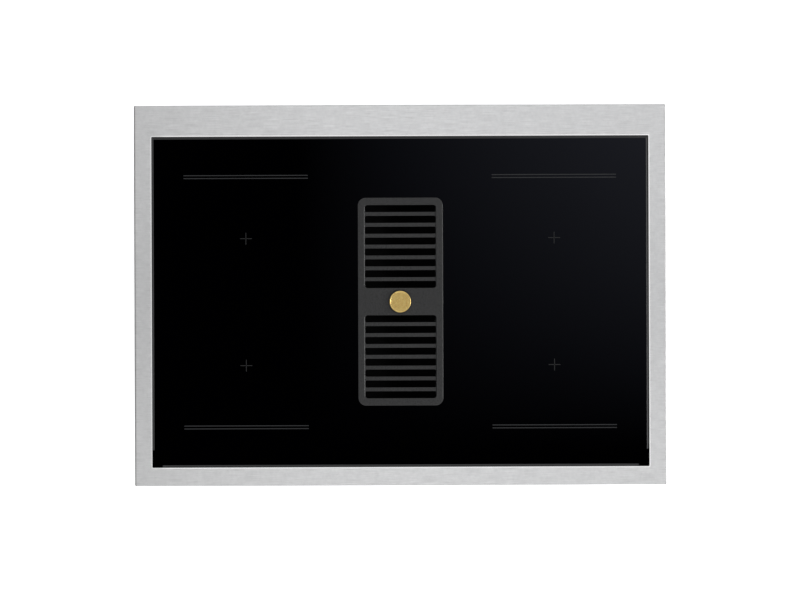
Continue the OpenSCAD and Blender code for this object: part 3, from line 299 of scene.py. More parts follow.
sheetLook = {"flakes": 110.0, "dust": 12.0, "dusty": (0.93, 0.93, 0.94), "smooth": 0.04, "rough": 0.1}


def sheetSteel(name, tone, gloss):
    material, tree, shader, coords = newFinish(name, {"Metallic": 1.0})
    look = sheetLook
    place = addNode(tree, "ShaderNodeMapping", {"Vector": coords, "Scale": grey(look["flakes"])})
    inputs = {"Vector": place.outputs[0], "Scale": 1.0}
    flakes = addNode(tree, "ShaderNodeTexVoronoi", inputs, feature="F1").outputs
    spangle = rampBetween(tree, flakes["Color"], scaled(tone, 0.95), scaled(tone, 1.04), 0.2, 0.9)
    dust = rampBetween(tree, noiseOn(tree, coords, look["dust"]), look["dusty"], grey(1.0))
    wear(tree, shader, mixTones(tree, 1.0, spangle, dust, "MULTIPLY"),
         spread(tree, flakes["Distance"], gloss - look["smooth"], gloss + look["rough"]))
    return material


enamelLook = {"tone": (0.027, 0.028, 0.032), "speck": (0.15, 0.155, 0.17), "gloss": 0.16, "dots": 900.0,
              "specks": (0.66, 0.72), "waves": 38.0, "depth": 0.0002}


def speckledEnamel(name, look):
    material, tree, shader, coords = newFinish(name, {"Specular IOR Level": 0.55})
    dots = noiseOn(tree, coords, look["dots"], 2.0)
    waves = noiseOn(tree, coords, look["waves"])
    wear(tree, shader, rampBetween(tree, dots, look["tone"], look["speck"], *look["specks"]),
         spread(tree, waves, look["gloss"], look["gloss"] + 0.1))
    bumpOn(tree, shader, waves, look["depth"], 0.4)
    return material


def satinPaint(name, tone, gloss, grit=700.0, depth=0.00004, shine=0.5):
    material, tree, shader, coords = newFinish(name, {"Specular IOR Level": shine})
    tone = grey(tone)
    grains = noiseOn(tree, coords, grit)
    broad = noiseOn(tree, coords, 14.0, 2.0)
    wear(tree, shader, rampBetween(tree, broad, scaled(tone, 0.94), scaled(tone, 1.06)),
         spread(tree, grains, gloss - 0.05, gloss + 0.08))
    bumpOn(tree, shader, grains, depth)
    return material


glassLooks = {
    "black": {"shader": {"IOR": 1.5}, "haze": 5.0, "detail": 4.0, "lift": 1.3, "blur": 0.01},
    "clear": {"shader": {"Transmission Weight": 1.0, "IOR": 1.45}, "haze": 8.0, "detail": 2.0, "lift": 1.1,
              "blur": 0.02},
}


def polishedGlass(name, kind, tone, gloss):
    look, tone = glassLooks[kind], grey(tone)
    material, tree, shader, coords = newFinish(name, look["shader"])
    haze = noiseOn(tree, coords, look["haze"], look["detail"])
    wear(tree, shader, rampBetween(tree, haze, tone, scaled(tone, look["lift"])),
         spread(tree, haze, gloss, gloss + look["blur"]))
    return material


brassLook = {"dark": (0.648, 0.436, 0.148), "light": (0.7632, 0.5777, 0.212), "rings": 300.0, "gloss": 0.3,
             "blotch": 240.0, "blotches": (0.36, 0.64), "depth": 0.000004}


def turnedBrass(name, node, look):
    material, tree, shader, coords = newFinish(name, {"Metallic": 1.0})
    low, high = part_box(node)
    place = addNode(tree, "ShaderNodeMapping", {"Vector": coords, "Location": -(low + high) / 2})
    wave = addNode(tree, "ShaderNodeTexWave", {
        "Vector": place.outputs[0], "Scale": look["rings"], "Distortion": 0.4,
        "Detail": 2.0, "Detail Scale": 2.0,
    }, wave_type="RINGS", rings_direction="Z").outputs["Fac"]
    blotch = noiseOn(tree, coords, look["blotch"], 4.0, 0.6)
    wear(tree, shader, rampBetween(tree, blotch, look["dark"], look["light"], *look["blotches"]),
         spread(tree, wave, look["gloss"] - 0.03, look["gloss"] + 0.04))
    bumpOn(tree, shader, wave, look["depth"], 0.12)
    return material


# painted light and shade on the steel top: how the light on the steel rises and falls across the worktop, from
# 0 at its left or front end
paintedTopLight = {
    "X": [(0.0, 0.42), (0.0023, 0.42), (0.0033, 0.82), (0.03, 0.825), (0.12, 0.89), (0.35, 0.98), (0.55, 1.0),
          (0.85, 0.945), (0.97, 0.91), (0.9968, 0.91), (0.9976, 0.86), (1.0, 0.86)],
    "Y": [(0.0, 1.0), (0.06, 1.0), (0.25, 0.96), (0.5, 0.9), (0.75, 0.955), (0.94, 0.975), (1.0, 0.975)],
}
# painted light on the lip round the opening: darker at the left, brighter at the right
paintedLipLight = {"X": [(0.0, 0.8), (0.045, 0.8), (0.06, 1.0), (0.945, 1.0), (0.96, 1.05), (1.0, 1.05)]}
# painted shade on the folded outer edge: darkest at the left, darker also at the right
paintedFoldShade = {"X": [(0.0, 0.1), (0.0022, 0.1), (0.0034, 1.0), (0.9966, 1.0), (0.9978, 0.4), (1.0, 0.4)]}
steelTop = brushedSteel("brushedSteelTop", (0.818, 0.818, 0.813), 0.34, 0, 1800.0, 0.1, 0.085, paintedTopLight)
steelLip = brushedSteel("polishedLipPaintedLight", 0.72, 0.18, 0, 1800.0, 0.03, 0.03, paintedLipLight)
# the folded edge's finish is darkened as painted shade
steelEdge = brushedSteel("sheetEdgePaintedShade", 0.5, 0.32, 0, 1800.0, 0.03, 0.03, paintedFoldShade)
steelFront = brushedSteel("brushedSteelFront", (0.66, 0.66, 0.655), 0.28, 0, 2600.0, 0.035, 0.012)
steelSide = brushedSteel("brushedSteelSide", (0.62, 0.62, 0.615), 0.34, 1, 2600.0, 0.03, 0.012)
steelBar = brushedSteel("brushedSteelBar", (0.7, 0.7, 0.695), 0.22, 0, 1500.0)
steelLeg = brushedSteel("brushedSteelLeg", 0.6, 0.3, 2)
copperWire = brushedSteel("copperWire", (0.6, 0.27, 0.13), 0.35, 0, 260.0)
chromeWire = brushedSteel("chromeWire", (0.82, 0.82, 0.83), 0.12, 1, 300.0)
darkTube = brushedSteel("darkTube", (0.12, 0.11, 0.105), 0.42, 0, 300.0)
zincSheet = sheetSteel("zincSheet", (0.6, 0.62, 0.63), 0.38)
pressedSheet = sheetSteel("pressedSheet", (0.68, 0.69, 0.7), 0.34)
ovenEnamel = speckledEnamel("ovenEnamel", enamelLook)
glassBlack = polishedGlass("glassBlack", "black", (0.00008, 0.00008, 0.00016), 0.02)
clockBlack = polishedGlass("clockBlack", "black", (0.004, 0.004, 0.005), 0.05)
windowGlass = polishedGlass("windowGlass", "clear", (0.3, 0.31, 0.33), 0.03)
innerGlass = polishedGlass("innerGlass", "clear", 0.62, 0.03)
lampGlass = polishedGlass("lampGlass", "clear", (0.95, 0.93, 0.85), 0.12)
brass = turnedBrass("turnedBrass", "grille_knob", brassLook)
frameEnamel = satinPaint("frameEnamel", (0.02, 0.02, 0.022), 0.28, 700.0, 0.00001)
grilleEnamel = satinPaint("grilleEnamel", 0.0178, 0.28, 900.0, 0.00002, 0.4)
# near-black filter: partly its own colour, partly painted shade for the grille's slots
filterBlack = satinPaint("filterBlack", (0.0015, 0.0015, 0.0016), 0.7, 500.0, 0.00003, 0.02)
edgeGlass = satinPaint("groundGlassEdge", (0.016, 0.016, 0.0165), 0.5, 900.0, 0.00001, 0.3)
# a lighter copy of the ground glass edge for the left bevel: painted light
edgeGlassLitLeft = satinPaint("groundGlassEdgePaintedLight", (0.042, 0.042, 0.043), 0.5, 900.0, 0.00001, 0.3)
sealStrip = satinPaint("glassSealStrip", 0.018, 0.5, 900.0, 0.00001, 0.3)
# a darker copy of the seal strip for its right side: painted shade
sealPaintedShade = satinPaint("sealPaintedShade", 0.0045, 0.5, 900.0, 0.00001, 0.3)
# black for the glass edge and seal near the front corners: painted dark reflection
cornerDarkReflection = satinPaint("cornerDarkReflection", (0.0003, 0.0003, 0.0004), 0.6, 900.0, 0.00001, 0.0)
sealRubber = satinPaint("sealRubber", (0.012, 0.012, 0.013), 0.62, 500.0, 0.00005, 0.3)
footRubber = satinPaint("footRubber", (0.03, 0.03, 0.032), 0.62, 500.0, 0.00005)
boxPlastic = satinPaint("boxPlastic", (0.04, 0.04, 0.042), 0.4, 300.0)
capSleeve = satinPaint("capSleeve", (0.012, 0.02, 0.06), 0.35)
motorPaint = satinPaint("motorPaint", (0.08, 0.09, 0.1), 0.4, 260.0)
boardMask = satinPaint("boardMask", (0.02, 0.11, 0.045), 0.3, 350.0)
woolFibre = satinPaint("woolFibre", (0.62, 0.52, 0.25), 0.9, 240.0, 0.0008)
printGrey = satinPaint("printGrey", (0.0105, 0.0108, 0.011), 0.5, 500.0, 0.00001, 0.2)
printPale = satinPaint("printPale", (0.0155, 0.016, 0.017), 0.5, 500.0, 0.00001, 0.2)
printBlack = satinPaint("printBlack", 0.012, 0.5, 500.0, 0.00001)
lampBody = satinPaint("lampBody", (0.55, 0.53, 0.47), 0.6)
clockGlow = satinPaint("clockGlow", (0.5, 0.55, 0.6), 0.4)
clockShader = clockGlow.node_tree.nodes["Principled BSDF"].inputs
clockShader["Emission Color"].default_value = (0.65, 0.8, 0.9, 1)
clockShader["Emission Strength"].default_value = 0.7

bodies = frame["record"]["behaviour"]["bodies"]
bodyOf = {member: body for body, members in bodies.items() for member in members}

print("stage: shared tools")


def newPiece(name, shape, materials):
    mesh = shape
    if isinstance(shape, bmesh.types.BMesh):
        mesh = bpy.data.meshes.new(name)
        shape.to_mesh(mesh)
        shape.free()
    for material in materials:
        mesh.materials.append(material)
    return linked(name, mesh)


def freeze(piece):
    depsgraph = bpy.context.evaluated_depsgraph_get()
    mesh = bpy.data.meshes.new_from_object(piece.evaluated_get(depsgraph))
    piece.modifiers.clear()
    piece.data = mesh
    return piece


def reshape(piece, change):    # runs a change on the piece's mesh
    shape = bmesh.new()
    shape.from_mesh(piece.data)
    change(shape)
    shape.to_mesh(piece.data)
    shape.free()


def markSeams(shape):    # a crisp line wherever the finish changes
    for line in shape.edges:
        if len({face.material_index for face in line.link_faces}) > 1:
            line.smooth = False


def shadeEdges(piece, sharp, seams=False):
    mesh = piece.data
    mesh.shade_smooth()
    mesh.set_sharp_from_angle(angle=math.radians(sharp))
    if seams:
        reshape(piece, markSeams)
    normals = piece.modifiers.new("faceWeights", "WEIGHTED_NORMAL")
    normals.keep_sharp = True
    return freeze(piece)


def bevelEdges(piece, width, segments, weighted=False):
    bevel = piece.modifiers.new("softEdges", "BEVEL")
    bevel.width = width
    bevel.segments = segments
    bevel.limit_method = "WEIGHT" if weighted else "ANGLE"
    bevel.angle_limit = math.radians(30)
    bevel.use_clamp_overlap = not weighted
    return freeze(piece)


def settle(piece, node, replaced=None):
    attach(piece, bodyOf[node])
    if replaced is None:
        replaced = (node,)
    if replaced:
        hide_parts(*replaced)
    return piece


def cadShape(node):
    shape = bmesh.new()
    shape.from_mesh(frame["nodes"][node].data)
    bmesh.ops.remove_doubles(shape, verts=shape.verts, dist=0.00002)
    bmesh.ops.dissolve_limit(shape, angle_limit=math.radians(0.5), verts=shape.verts, edges=shape.edges)
    return shape


def gradeEdges(shape, weigh, angle=28.0):
    weights = shape.edges.layers.float.new("bevel_weight_edge")
    for line in shape.edges:
        if len(line.link_faces) == 2 and line.calc_face_angle(0) > math.radians(angle):
            line[weights] = weigh(*(vert.co for vert in line.verts))


dressing = {"near": 0.0001, "long": 0.05, "sharp": 50.0}
ownNames = {"door_frame": "doorFront", "clock_display": "clockGlass"}


def dressNode(node, materials, fold, edge=None, segments=2, choose=None):
    words = node.split("_")
    name = ownNames.get(node, words[0] + "".join(word.title() for word in words[1:]))
    shape = cadShape(node)
    low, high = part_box(node)
    fine, near = (edge or fold) / fold, dressing["near"]

    def weigh(first, second):    # long outer edges get the whole fold
        planes = sum(max(abs(first[axis] - limit[axis]), abs(second[axis] - limit[axis])) < near
                     for axis in range(3) for limit in (low, high))
        return 1.0 if planes >= 2 and (first - second).length > dressing["long"] else fine

    gradeEdges(shape, weigh)
    if choose:
        for face in shape.faces:
            face.material_index = choose(face.calc_center_median())
    piece = bevelEdges(newPiece(name, shape, materials), fold, segments, weighted=True)
    return settle(shadeEdges(piece, dressing["sharp"]), node)


def cornerLoop(x0, y0, x1, y1, z, radius, steps=4):
    points = []
    middles = ((x1 - radius, y1 - radius), (x0 + radius, y1 - radius),
               (x0 + radius, y0 + radius), (x1 - radius, y0 + radius))
    for quarter, (middleX, middleY) in enumerate(middles):
        for step in range(steps + 1):
            angle = math.pi / 2 * (quarter + step / steps)
            points.append((middleX + radius * math.cos(angle), middleY + radius * math.sin(angle), z))
    return points


def loftLoops(loops, closed=True):
    shape = bmesh.new()
    rows = [[shape.verts.new(point) for point in loop] for loop in loops]
    for first, second in zip(rows, rows[1:] + ([rows[0]] if closed else [])):
        for index in range(len(first)):
            shape.faces.new((first[index - 1], first[index], second[index], second[index - 1]))
    if not closed:
        shape.faces.new(rows[0])
        shape.faces.new(rows[-1])
    bmesh.ops.recalc_face_normals(shape, faces=shape.faces)
    return shape


def slab(name, rows, material, steps=4):    # a row is x0, y0, x1, y1, height and corner
    loops = [cornerLoop(*row, steps) for row in rows]
    return newPiece(name, loftLoops(loops, closed=False), [material])


def ringPoints(radius, count):
    turns = [math.tau * i / count for i in range(count)]
    return [(radius * math.cos(turn), radius * math.sin(turn)) for turn in turns]


def turnedShape(profile, steps):
    shape = bmesh.new()
    rows = []
    for radius, height in profile:
        ring = ringPoints(radius, steps) if radius > 1e-7 else [(0, 0)]
        rows.append([shape.verts.new((x, y, height)) for x, y in ring])
    for first, second in zip(rows, rows[1:]):
        for i in range(steps):
            j = (i + 1) % steps
            corners = [row[k % len(row)] for row, k in ((first, i), (first, j), (second, j), (second, i))]
            corners = list(dict.fromkeys(corners))
            if len(corners) > 2:
                shape.faces.new(corners)
    if profile[0] == profile[-1]:
        bmesh.ops.remove_doubles(shape, verts=shape.verts, dist=1e-7)
    bmesh.ops.recalc_face_normals(shape, faces=shape.faces)
    return shape


def placed(piece, matrix):
    piece.data.transform(matrix)
    return piece


def turned(name, profile, material, steps, place=at()):
    return placed(newPiece(name, turnedShape(profile, steps), [material]), place)


def shifted(points, x, y=0.0):
    return [(a + x, b + y) for a, b in points]


def joinPieces(name, pieces, sharp=None):
    shape = bmesh.new()
    materials = []
    for piece in pieces:
        first = len(shape.faces)
        shape.from_mesh(piece.data)
        shape.faces.ensure_lookup_table()
        slots = []
        for material in piece.data.materials:
            if material not in materials:
                materials.append(material)
            slots.append(materials.index(material))
        for face in shape.faces[first:]:
            face.material_index = slots[min(face.material_index, len(slots) - 1)]
    for piece in pieces:
        bpy.data.objects.remove(piece)
    whole = newPiece(name, shape, materials)
    return shadeEdges(whole, sharp) if sharp else whole


facingFront = Matrix.Rotation(math.pi / 2, 4, "X")     # a shape's up becomes the front, its rear becomes up
facingRear = Matrix.Rotation(math.pi, 4, "Z") @ facingFront
alongX = Matrix.Rotation(math.pi / 2, 4, "Y")


def newTree(name, sizes):
    tree = bpy.data.node_groups.new(name, "GeometryNodeTree")
    kinds = {float: "NodeSocketFloat", int: "NodeSocketInt", str: "NodeSocketObject"}
    tree.interface.new_socket("Geometry", in_out="OUTPUT", socket_type="NodeSocketGeometry")
    tree.interface.new_socket("Geometry", in_out="INPUT", socket_type="NodeSocketGeometry")
    for key, value in sizes.items():
        socket = tree.interface.new_socket(key, in_out="INPUT", socket_type=kinds[type(value)])
        if not isinstance(value, str):
            socket.default_value = value
    tree.interface.new_socket("Material", in_out="INPUT", socket_type="NodeSocketMaterial")
    return tree, tree.nodes.new("NodeGroupInput").outputs


def realised(tree, geometry):
    return addNode(tree, "GeometryNodeRealizeInstances", {"Geometry": geometry}).outputs[0]


def endTree(tree, entry, geometry):
    inputs = {"Geometry": realised(tree, geometry), "Material": entry["Material"]}
    dressed = addNode(tree, "GeometryNodeSetMaterial", inputs)
    addNode(tree, "NodeGroupOutput", {0: dressed.outputs[0]})
    return tree


def growPiece(name, tree, values, material, base=None, matrix=at()):
    piece = linked(name, base or bpy.data.meshes.new(name))
    modifier = piece.modifiers.new("grow", "NODES")
    modifier.node_group = tree
    for item in tree.interface.items_tree:
        if item.in_out == "INPUT" and item.name in values:
            modifier[item.identifier] = values[item.name]
        elif item.in_out == "INPUT" and item.name == "Material":
            modifier[item.identifier] = material
    freeze(piece)

    def clean(shape):
        bmesh.ops.remove_doubles(shape, verts=shape.verts, dist=1e-6)
        bmesh.ops.recalc_face_normals(shape, faces=shape.faces)
        for face in shape.faces:
            face.material_index = 0

    reshape(piece, clean)
    piece.data.materials.clear()
    piece.data.materials.append(material)
    return placed(piece, matrix)


def triple(tree, x=0.0, y=0.0, z=0.0):
    return addNode(tree, "ShaderNodeCombineXYZ", {0: x, 1: y, 2: z}).outputs[0]


def instancesOn(tree, points, shape, turn=0.0):
    inputs = {"Points": points, "Instance": shape, "Rotation": triple(tree, z=turn)}
    return addNode(tree, "GeometryNodeInstanceOnPoints", inputs).outputs[0]


def joined(tree, *shapes):
    node = addNode(tree, "GeometryNodeJoinGeometry")
    for shape in shapes:
        tree.links.new(shape, node.inputs[0])
    return node.outputs[0]


def centredLine(tree, count, pitch, axis):
    gaps = mathOf(tree, "SUBTRACT", count, 1.0)
    start = mathOf(tree, "MULTIPLY", mathOf(tree, "MULTIPLY", gaps, pitch), -0.5)
    step, first = (triple(tree, **{axis: value}) for value in (pitch, start))
    inputs = {"Count": count, "Start Location": first, "Offset": step}
    return addNode(tree, "GeometryNodeMeshLine", inputs).outputs[0]


def mirroredLine(tree, reach, axis):    # two points, one at each side of the middle
    return centredLine(tree, 2, mathOf(tree, "MULTIPLY", reach, 2.0), axis)


def roundedOutline(tree, width, length, corner, steps):
    outline = addNode(tree, "GeometryNodeCurvePrimitiveQuadrilateral", {"Width": width, "Height": length})
    return softened(tree, outline.outputs[0], corner, steps)


def softened(tree, curve, radius, steps):
    inputs = {"Curve": curve, "Radius": radius, "Count": steps}
    return addNode(tree, "GeometryNodeFilletCurve", inputs, mode="POLY").outputs[0]


def makePlateTree():
    tree, entry = newTree("slottedPlate", {
        "Width": 0.1, "Length": 0.2, "Corner": 0.01, "Height": 0.004,
        "Slot Length": 0.08, "Slot Width": 0.01, "Slot Corner": 0.002,
        "Rows": 8, "Row Pitch": 0.02, "Fields": 2, "Fields Apart": 0.1,
    })
    rows = centredLine(tree, entry["Rows"], entry["Row Pitch"], "y")
    fields = centredLine(tree, entry["Fields"], entry["Fields Apart"], "y")
    spots = realised(tree, instancesOn(tree, fields, rows))
    slot = roundedOutline(tree, entry["Slot Length"], entry["Slot Width"], entry["Slot Corner"], 5)
    slots = realised(tree, instancesOn(tree, spots, slot))
    outline = roundedOutline(tree, entry["Width"], entry["Length"], entry["Corner"], 10)
    sheet = addNode(tree, "GeometryNodeFillCurve", {"Curve": joined(tree, slots, outline)})
    if "Mode" in sheet.inputs:
        sheet.inputs["Mode"].default_value = "N-gons"
    else:
        sheet.mode = "NGONS"
    thick = addNode(tree, "GeometryNodeExtrudeMesh", {
        "Mesh": sheet.outputs[0], "Offset": triple(tree, z=entry["Height"]),
        "Offset Scale": 1.0, "Individual": False,
    })
    under = addNode(tree, "GeometryNodeFlipFaces", {"Mesh": sheet.outputs[0]})
    both = joined(tree, thick.outputs[0], under.outputs[0])
    closed = addNode(tree, "GeometryNodeMergeByDistance", {"Geometry": both, "Distance": 1e-6})
    return endTree(tree, entry, closed.outputs[0])


def makeCopyTree(name, sizes):    # a shape on a ring of points, or on the points of the piece's own mesh
    tree, entry = newTree(name, {"Shape": "", **sizes})
    shape = addNode(tree, "GeometryNodeObjectInfo", {"Object": entry["Shape"]})
    index = addNode(tree, "GeometryNodeInputIndex").outputs[0]
    if "Radius" in sizes:
        ring = addNode(tree, "GeometryNodeMeshCircle", {"Vertices": entry["Count"], "Radius": entry["Radius"]})
        points, step = ring.outputs[0], mathOf(tree, "DIVIDE", math.tau, entry["Count"])
    else:
        points, step = entry["Geometry"], entry["Turn Step"]
    turn = mathOf(tree, "MULTIPLY", index, step)
    return endTree(tree, entry, instancesOn(tree, points, shape.outputs["Geometry"], turn))


def makeWireTree():
    tree, entry = newTree("sweptWire", {"Radius": 0.002, "Sides": 12, "Bend": 0.0})
    path = addNode(tree, "GeometryNodeMeshToCurve", {"Mesh": entry["Geometry"]})
    soft = softened(tree, path.outputs[0], entry["Bend"], 8)
    inputs = {"Resolution": entry["Sides"], "Radius": entry["Radius"]}
    profile = addNode(tree, "GeometryNodeCurvePrimitiveCircle", inputs)
    inputs = {"Curve": soft, "Profile Curve": profile.outputs[0], "Fill Caps": True}
    wire = addNode(tree, "GeometryNodeCurveToMesh", inputs)
    return endTree(tree, entry, wire.outputs[0])


def makeMarkTree():
    tree, entry = newTree("zoneMarks", {
        "Zone X": 0.261, "Zone Y": 0.1075, "Arm": 0.02, "Line": 0.0012, "Thick": 0.00006,
        "Rail Y": 0.212, "Rail Length": 0.21, "Rail Gap": 0.0049, "Crosses": 1,
    })

    def bar(width, length):
        size = triple(tree, entry[width], entry[length], entry["Thick"])
        return addNode(tree, "GeometryNodeMeshCube", {"Size": size}).outputs[0]

    def onZones(shape, reach):
        column = instancesOn(tree, mirroredLine(tree, entry[reach], "y"), shape)
        return instancesOn(tree, mirroredLine(tree, entry["Zone X"], "x"), column)

    cross = joined(tree, bar("Arm", "Line"), bar("Line", "Arm"))
    rails = instancesOn(tree, centredLine(tree, 2, entry["Rail Gap"], "y"), bar("Rail Length", "Line"))
    inputs = {"Switch": entry["Crosses"], "False": onZones(rails, "Rail Y"), "True": onZones(cross, "Zone Y")}
    chosen = addNode(tree, "GeometryNodeSwitch", inputs, input_type="GEOMETRY")
    return endTree(tree, entry, chosen.outputs[0])


plateTree = makePlateTree()
ringTree = makeCopyTree("ringOfShapes", {"Count": 24, "Radius": 0.02})
spotTree = makeCopyTree("shapeAtSpots", {"Turn Step": 0.0})
wireTree = makeWireTree()
markTree = makeMarkTree()


def spots(points, edges=()):
    mesh = bpy.data.meshes.new("spots")
    mesh.from_pydata(points, edges, [])
    return mesh


def copiesAt(name, template, points, turn=0.0, place=at()):
    material = template.data.materials[0]
    values = {"Shape": template, "Turn Step": turn}
    piece = growPiece(name, spotTree, values, material, base=spots(points), matrix=place)
    bpy.data.objects.remove(template)
    return piece


def ringOf(template, count, radius):
    values = {"Shape": template, "Count": count, "Radius": radius}
    piece = growPiece("ring", ringTree, values, template.data.materials[0])
    bpy.data.objects.remove(template)
    return piece


def wirePiece(name, radius, bend, paths, material, sides=12, closed=False):
    points, edges = [], []
    for path in paths:
        first = len(points)
        points += path
        edges += [(first + i, first + i + 1) for i in range(len(path) - 1)]
        if closed:
            edges.append((len(points) - 1, first))
    values = {"Radius": radius, "Sides": sides, "Bend": bend}
    return growPiece(name, wireTree, values, material, base=spots(points, edges))


print("stage: worktop and glass")

worktop = {
    "low": (-0.45, -0.322), "high": (0.45, 0.322), "top": 0.9, "skirtBottom": 0.855, "sheet": 0.002,
    "corner": 0.0019, "innerCorner": 0.0008, "fold": 0.0013, "foldSteps": 5,
    "openingLow": (-0.4207, -0.2911), "openingHigh": (0.4213, 0.2694), "openingCorner": 0.0016,
    "lipWide": 0.0018, "lipDeep": 0.0005, "ledgeTop": 0.892, "ledgeBottom": 0.89, "ledgeWide": 0.014,
    "ledgeCorner": 0.001, "hem": 0.0015, "hemCorner": 0.0004, "frontFold": -0.272,
}


def makeWorktop(size):
    (x0, y0), (x1, y1) = size["low"], size["high"]
    (ox0, oy0), (ox1, oy1) = size["openingLow"], size["openingHigh"]
    top, sheet, fold, lip = size["top"], size["sheet"], size["fold"], size["lipWide"]
    hem, bottom, inner = size["sheet"] + size["hem"], size["skirtBottom"], size["innerCorner"]

    def around(grow, z, corner):
        return cornerLoop(x0 - grow, y0 - grow, x1 + grow, y1 + grow, z, corner)

    def opening(grow, z, corner=None):
        corner = corner or size["openingCorner"] + max(0, grow)
        return cornerLoop(ox0 - grow, oy0 - grow, ox1 + grow, oy1 + grow, z, corner)

    loops = [around(0, bottom, size["corner"])]
    for step in range(size["foldSteps"] + 1):
        angle = math.pi / 2 * step / size["foldSteps"]
        inset = fold * (1 - math.cos(angle))
        loops.append(around(-inset, top - fold * (1 - math.sin(angle)), size["corner"] - inset))
    loops += [
        opening(lip, top),
        opening(0, top - size["lipDeep"]),
        opening(0, size["ledgeTop"]),
        opening(-size["ledgeWide"], size["ledgeTop"], size["ledgeCorner"]),
        opening(-size["ledgeWide"], size["ledgeBottom"], size["ledgeCorner"]),
        opening(sheet, size["ledgeBottom"]),
        opening(sheet, top - sheet),
        around(-sheet, top - sheet, inner),
        around(-sheet, bottom + sheet, inner),
    ]
    loops += [cornerLoop(x0 + hem, size["frontFold"], x1 - hem, y1 - hem, z, size["hemCorner"])
              for z in (bottom + sheet, bottom)]
    shape = loftLoops(loops)
    near = 1e-5
    for face in shape.faces:
        middle = face.calc_center_median()
        nearOpening = ox0 - lip < middle.x < ox1 + lip and oy0 - lip < middle.y < oy1 + lip
        # the lip faces take the lip's painted light, the fold faces the fold's painted shade
        if top - size["lipDeep"] + near < middle.z < top - near and nearOpening:
            face.material_index = 1
        elif top - fold + near < middle.z < top - near and not nearOpening:
            face.material_index = 2
    piece = newPiece("steelWorktop", shape, [steelTop, steelLip, steelEdge])
    return settle(shadeEdges(piece, 25.0, True), "worktop_frame")


makeWorktop(worktop)

hobGlass = {
    "bevelWide": 0.0024, "bevelDeep": 0.0011, "corner": 0.0016, "cutWide": 0.13, "cutLong": 0.3377,
    "cutCorner": 0.006, "under": 0.0003, "cutBevel": 0.0004, "darkReflectionCorner": (0.4031, -0.2615),
}


def cutCorners(shape, corner):    # the glass edge and the seal get a painted dark reflection near the two front corners
    x, y = corner
    for place, across in (((x, 0, 0), (1, 0, 0)), ((-x, 0, 0), (1, 0, 0)), ((0, y, 0), (0, 1, 0))):
        everything = shape.verts[:] + shape.edges[:] + shape.faces[:]
        bmesh.ops.bisect_plane(shape, geom=everything, plane_co=place, plane_no=across)
    for face in shape.faces:
        middle = face.calc_center_median()
        yield face, middle, abs(middle.x) > x and middle.y < y


def makeGlass(size):
    low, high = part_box("glass_top")
    middle = (low + high) / 2
    bevel, corner, under, soft = size["bevelWide"], size["corner"], size["under"], size["cutBevel"]
    wide, long = size["cutWide"] / 2, size["cutLong"] / 2

    def outline(grow, z, radius):
        return cornerLoop(low.x - grow, low.y - grow, high.x + grow, high.y + grow, z, radius, 8)

    def cutout(grow, z):
        x, y = wide + grow, long + grow
        return cornerLoop(middle.x - x, middle.y - y, middle.x + x, middle.y + y, z, size["cutCorner"], 8)

    shape = loftLoops([
        outline(-under, low.z, corner), outline(0, low.z + under, corner),
        outline(0, high.z - size["bevelDeep"], corner), outline(-bevel, high.z, corner * 0.7),
        cutout(soft, high.z), cutout(0, high.z - soft), cutout(0, low.z),
    ])
    # bevel faces: a painted dark reflection near the front corners, a lighter copy as painted light at the left
    for face, place, inCorner in cutCorners(shape, size["darkReflectionCorner"]):
        if high.z - size["bevelDeep"] < place.z < high.z - under:
            face.material_index = 2 if inCorner else 3 if place.x < low.x + bevel else 1
    piece = newPiece("hobGlass", shape, [glassBlack, edgeGlass, cornerDarkReflection, edgeGlassLitLeft])
    return settle(shadeEdges(piece, 18.0, True), "glass_top")


makeGlass(hobGlass)

glassSeal = {"slack": 0.00003, "shelf": 0.012, "shelfCorner": 0.001, "round": 0.0004}


def makeSeal(size):
    low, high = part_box("glass_seal")
    glassLow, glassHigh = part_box("glass_top")
    corner, soft, shelf = worktop["openingCorner"], size["round"], size["shelf"]
    (x0, y0), (x1, y1) = worktop["openingLow"], worktop["openingHigh"]

    def outer(inset, z, radius):
        inset += size["slack"]
        return cornerLoop(x0 + inset, y0 + inset, x1 - inset, y1 - inset, z, radius)

    def within(a, b, inset, z, radius):
        return cornerLoop(a.x + inset, a.y + inset, b.x - inset, b.y - inset, z, radius)

    shape = loftLoops([
        outer(0, low.z, corner), outer(0, high.z - soft, corner), outer(soft, high.z, corner - soft),
        within(glassLow, glassHigh, 0, high.z, hobGlass["corner"]),
        within(glassLow, glassHigh, 0, glassLow.z, hobGlass["corner"]),
        within(low, high, shelf, glassLow.z, size["shelfCorner"]),
        within(low, high, shelf, low.z, size["shelfCorner"]),
    ])
    # seal faces: a painted dark reflection near the front corners, painted shade at the right side
    for face, place, inCorner in cutCorners(shape, hobGlass["darkReflectionCorner"]):
        face.material_index = 2 if inCorner else 1 if place.x > glassHigh.x else 0
    piece = newPiece("hobSeal", shape, [sealStrip, sealPaintedShade, cornerDarkReflection])
    return settle(shadeEdges(piece, 50.0), "glass_seal")


makeSeal(glassSeal)

zoneMarks = {"Zone X": 0.261, "Zone Y": 0.1075, "Arm": 0.02, "Rail Y": 0.212, "Rail Length": 0.2106,
             "Rail Gap": 0.0049, "Thick": 0.00006}
zonePlace = at(0, -0.011, 0.90003)

for name, crosses, line, material in (
    ("zoneCrosses", 1, 0.0012, printGrey),
    ("zoneRails", 0, 0.0015, printPale),
):
    values = {**zoneMarks, "Crosses": crosses, "Line": line}
    settle(growPiece(name, markTree, values, material, matrix=zonePlace), "glass_top", ())

print("stage: extraction grille")

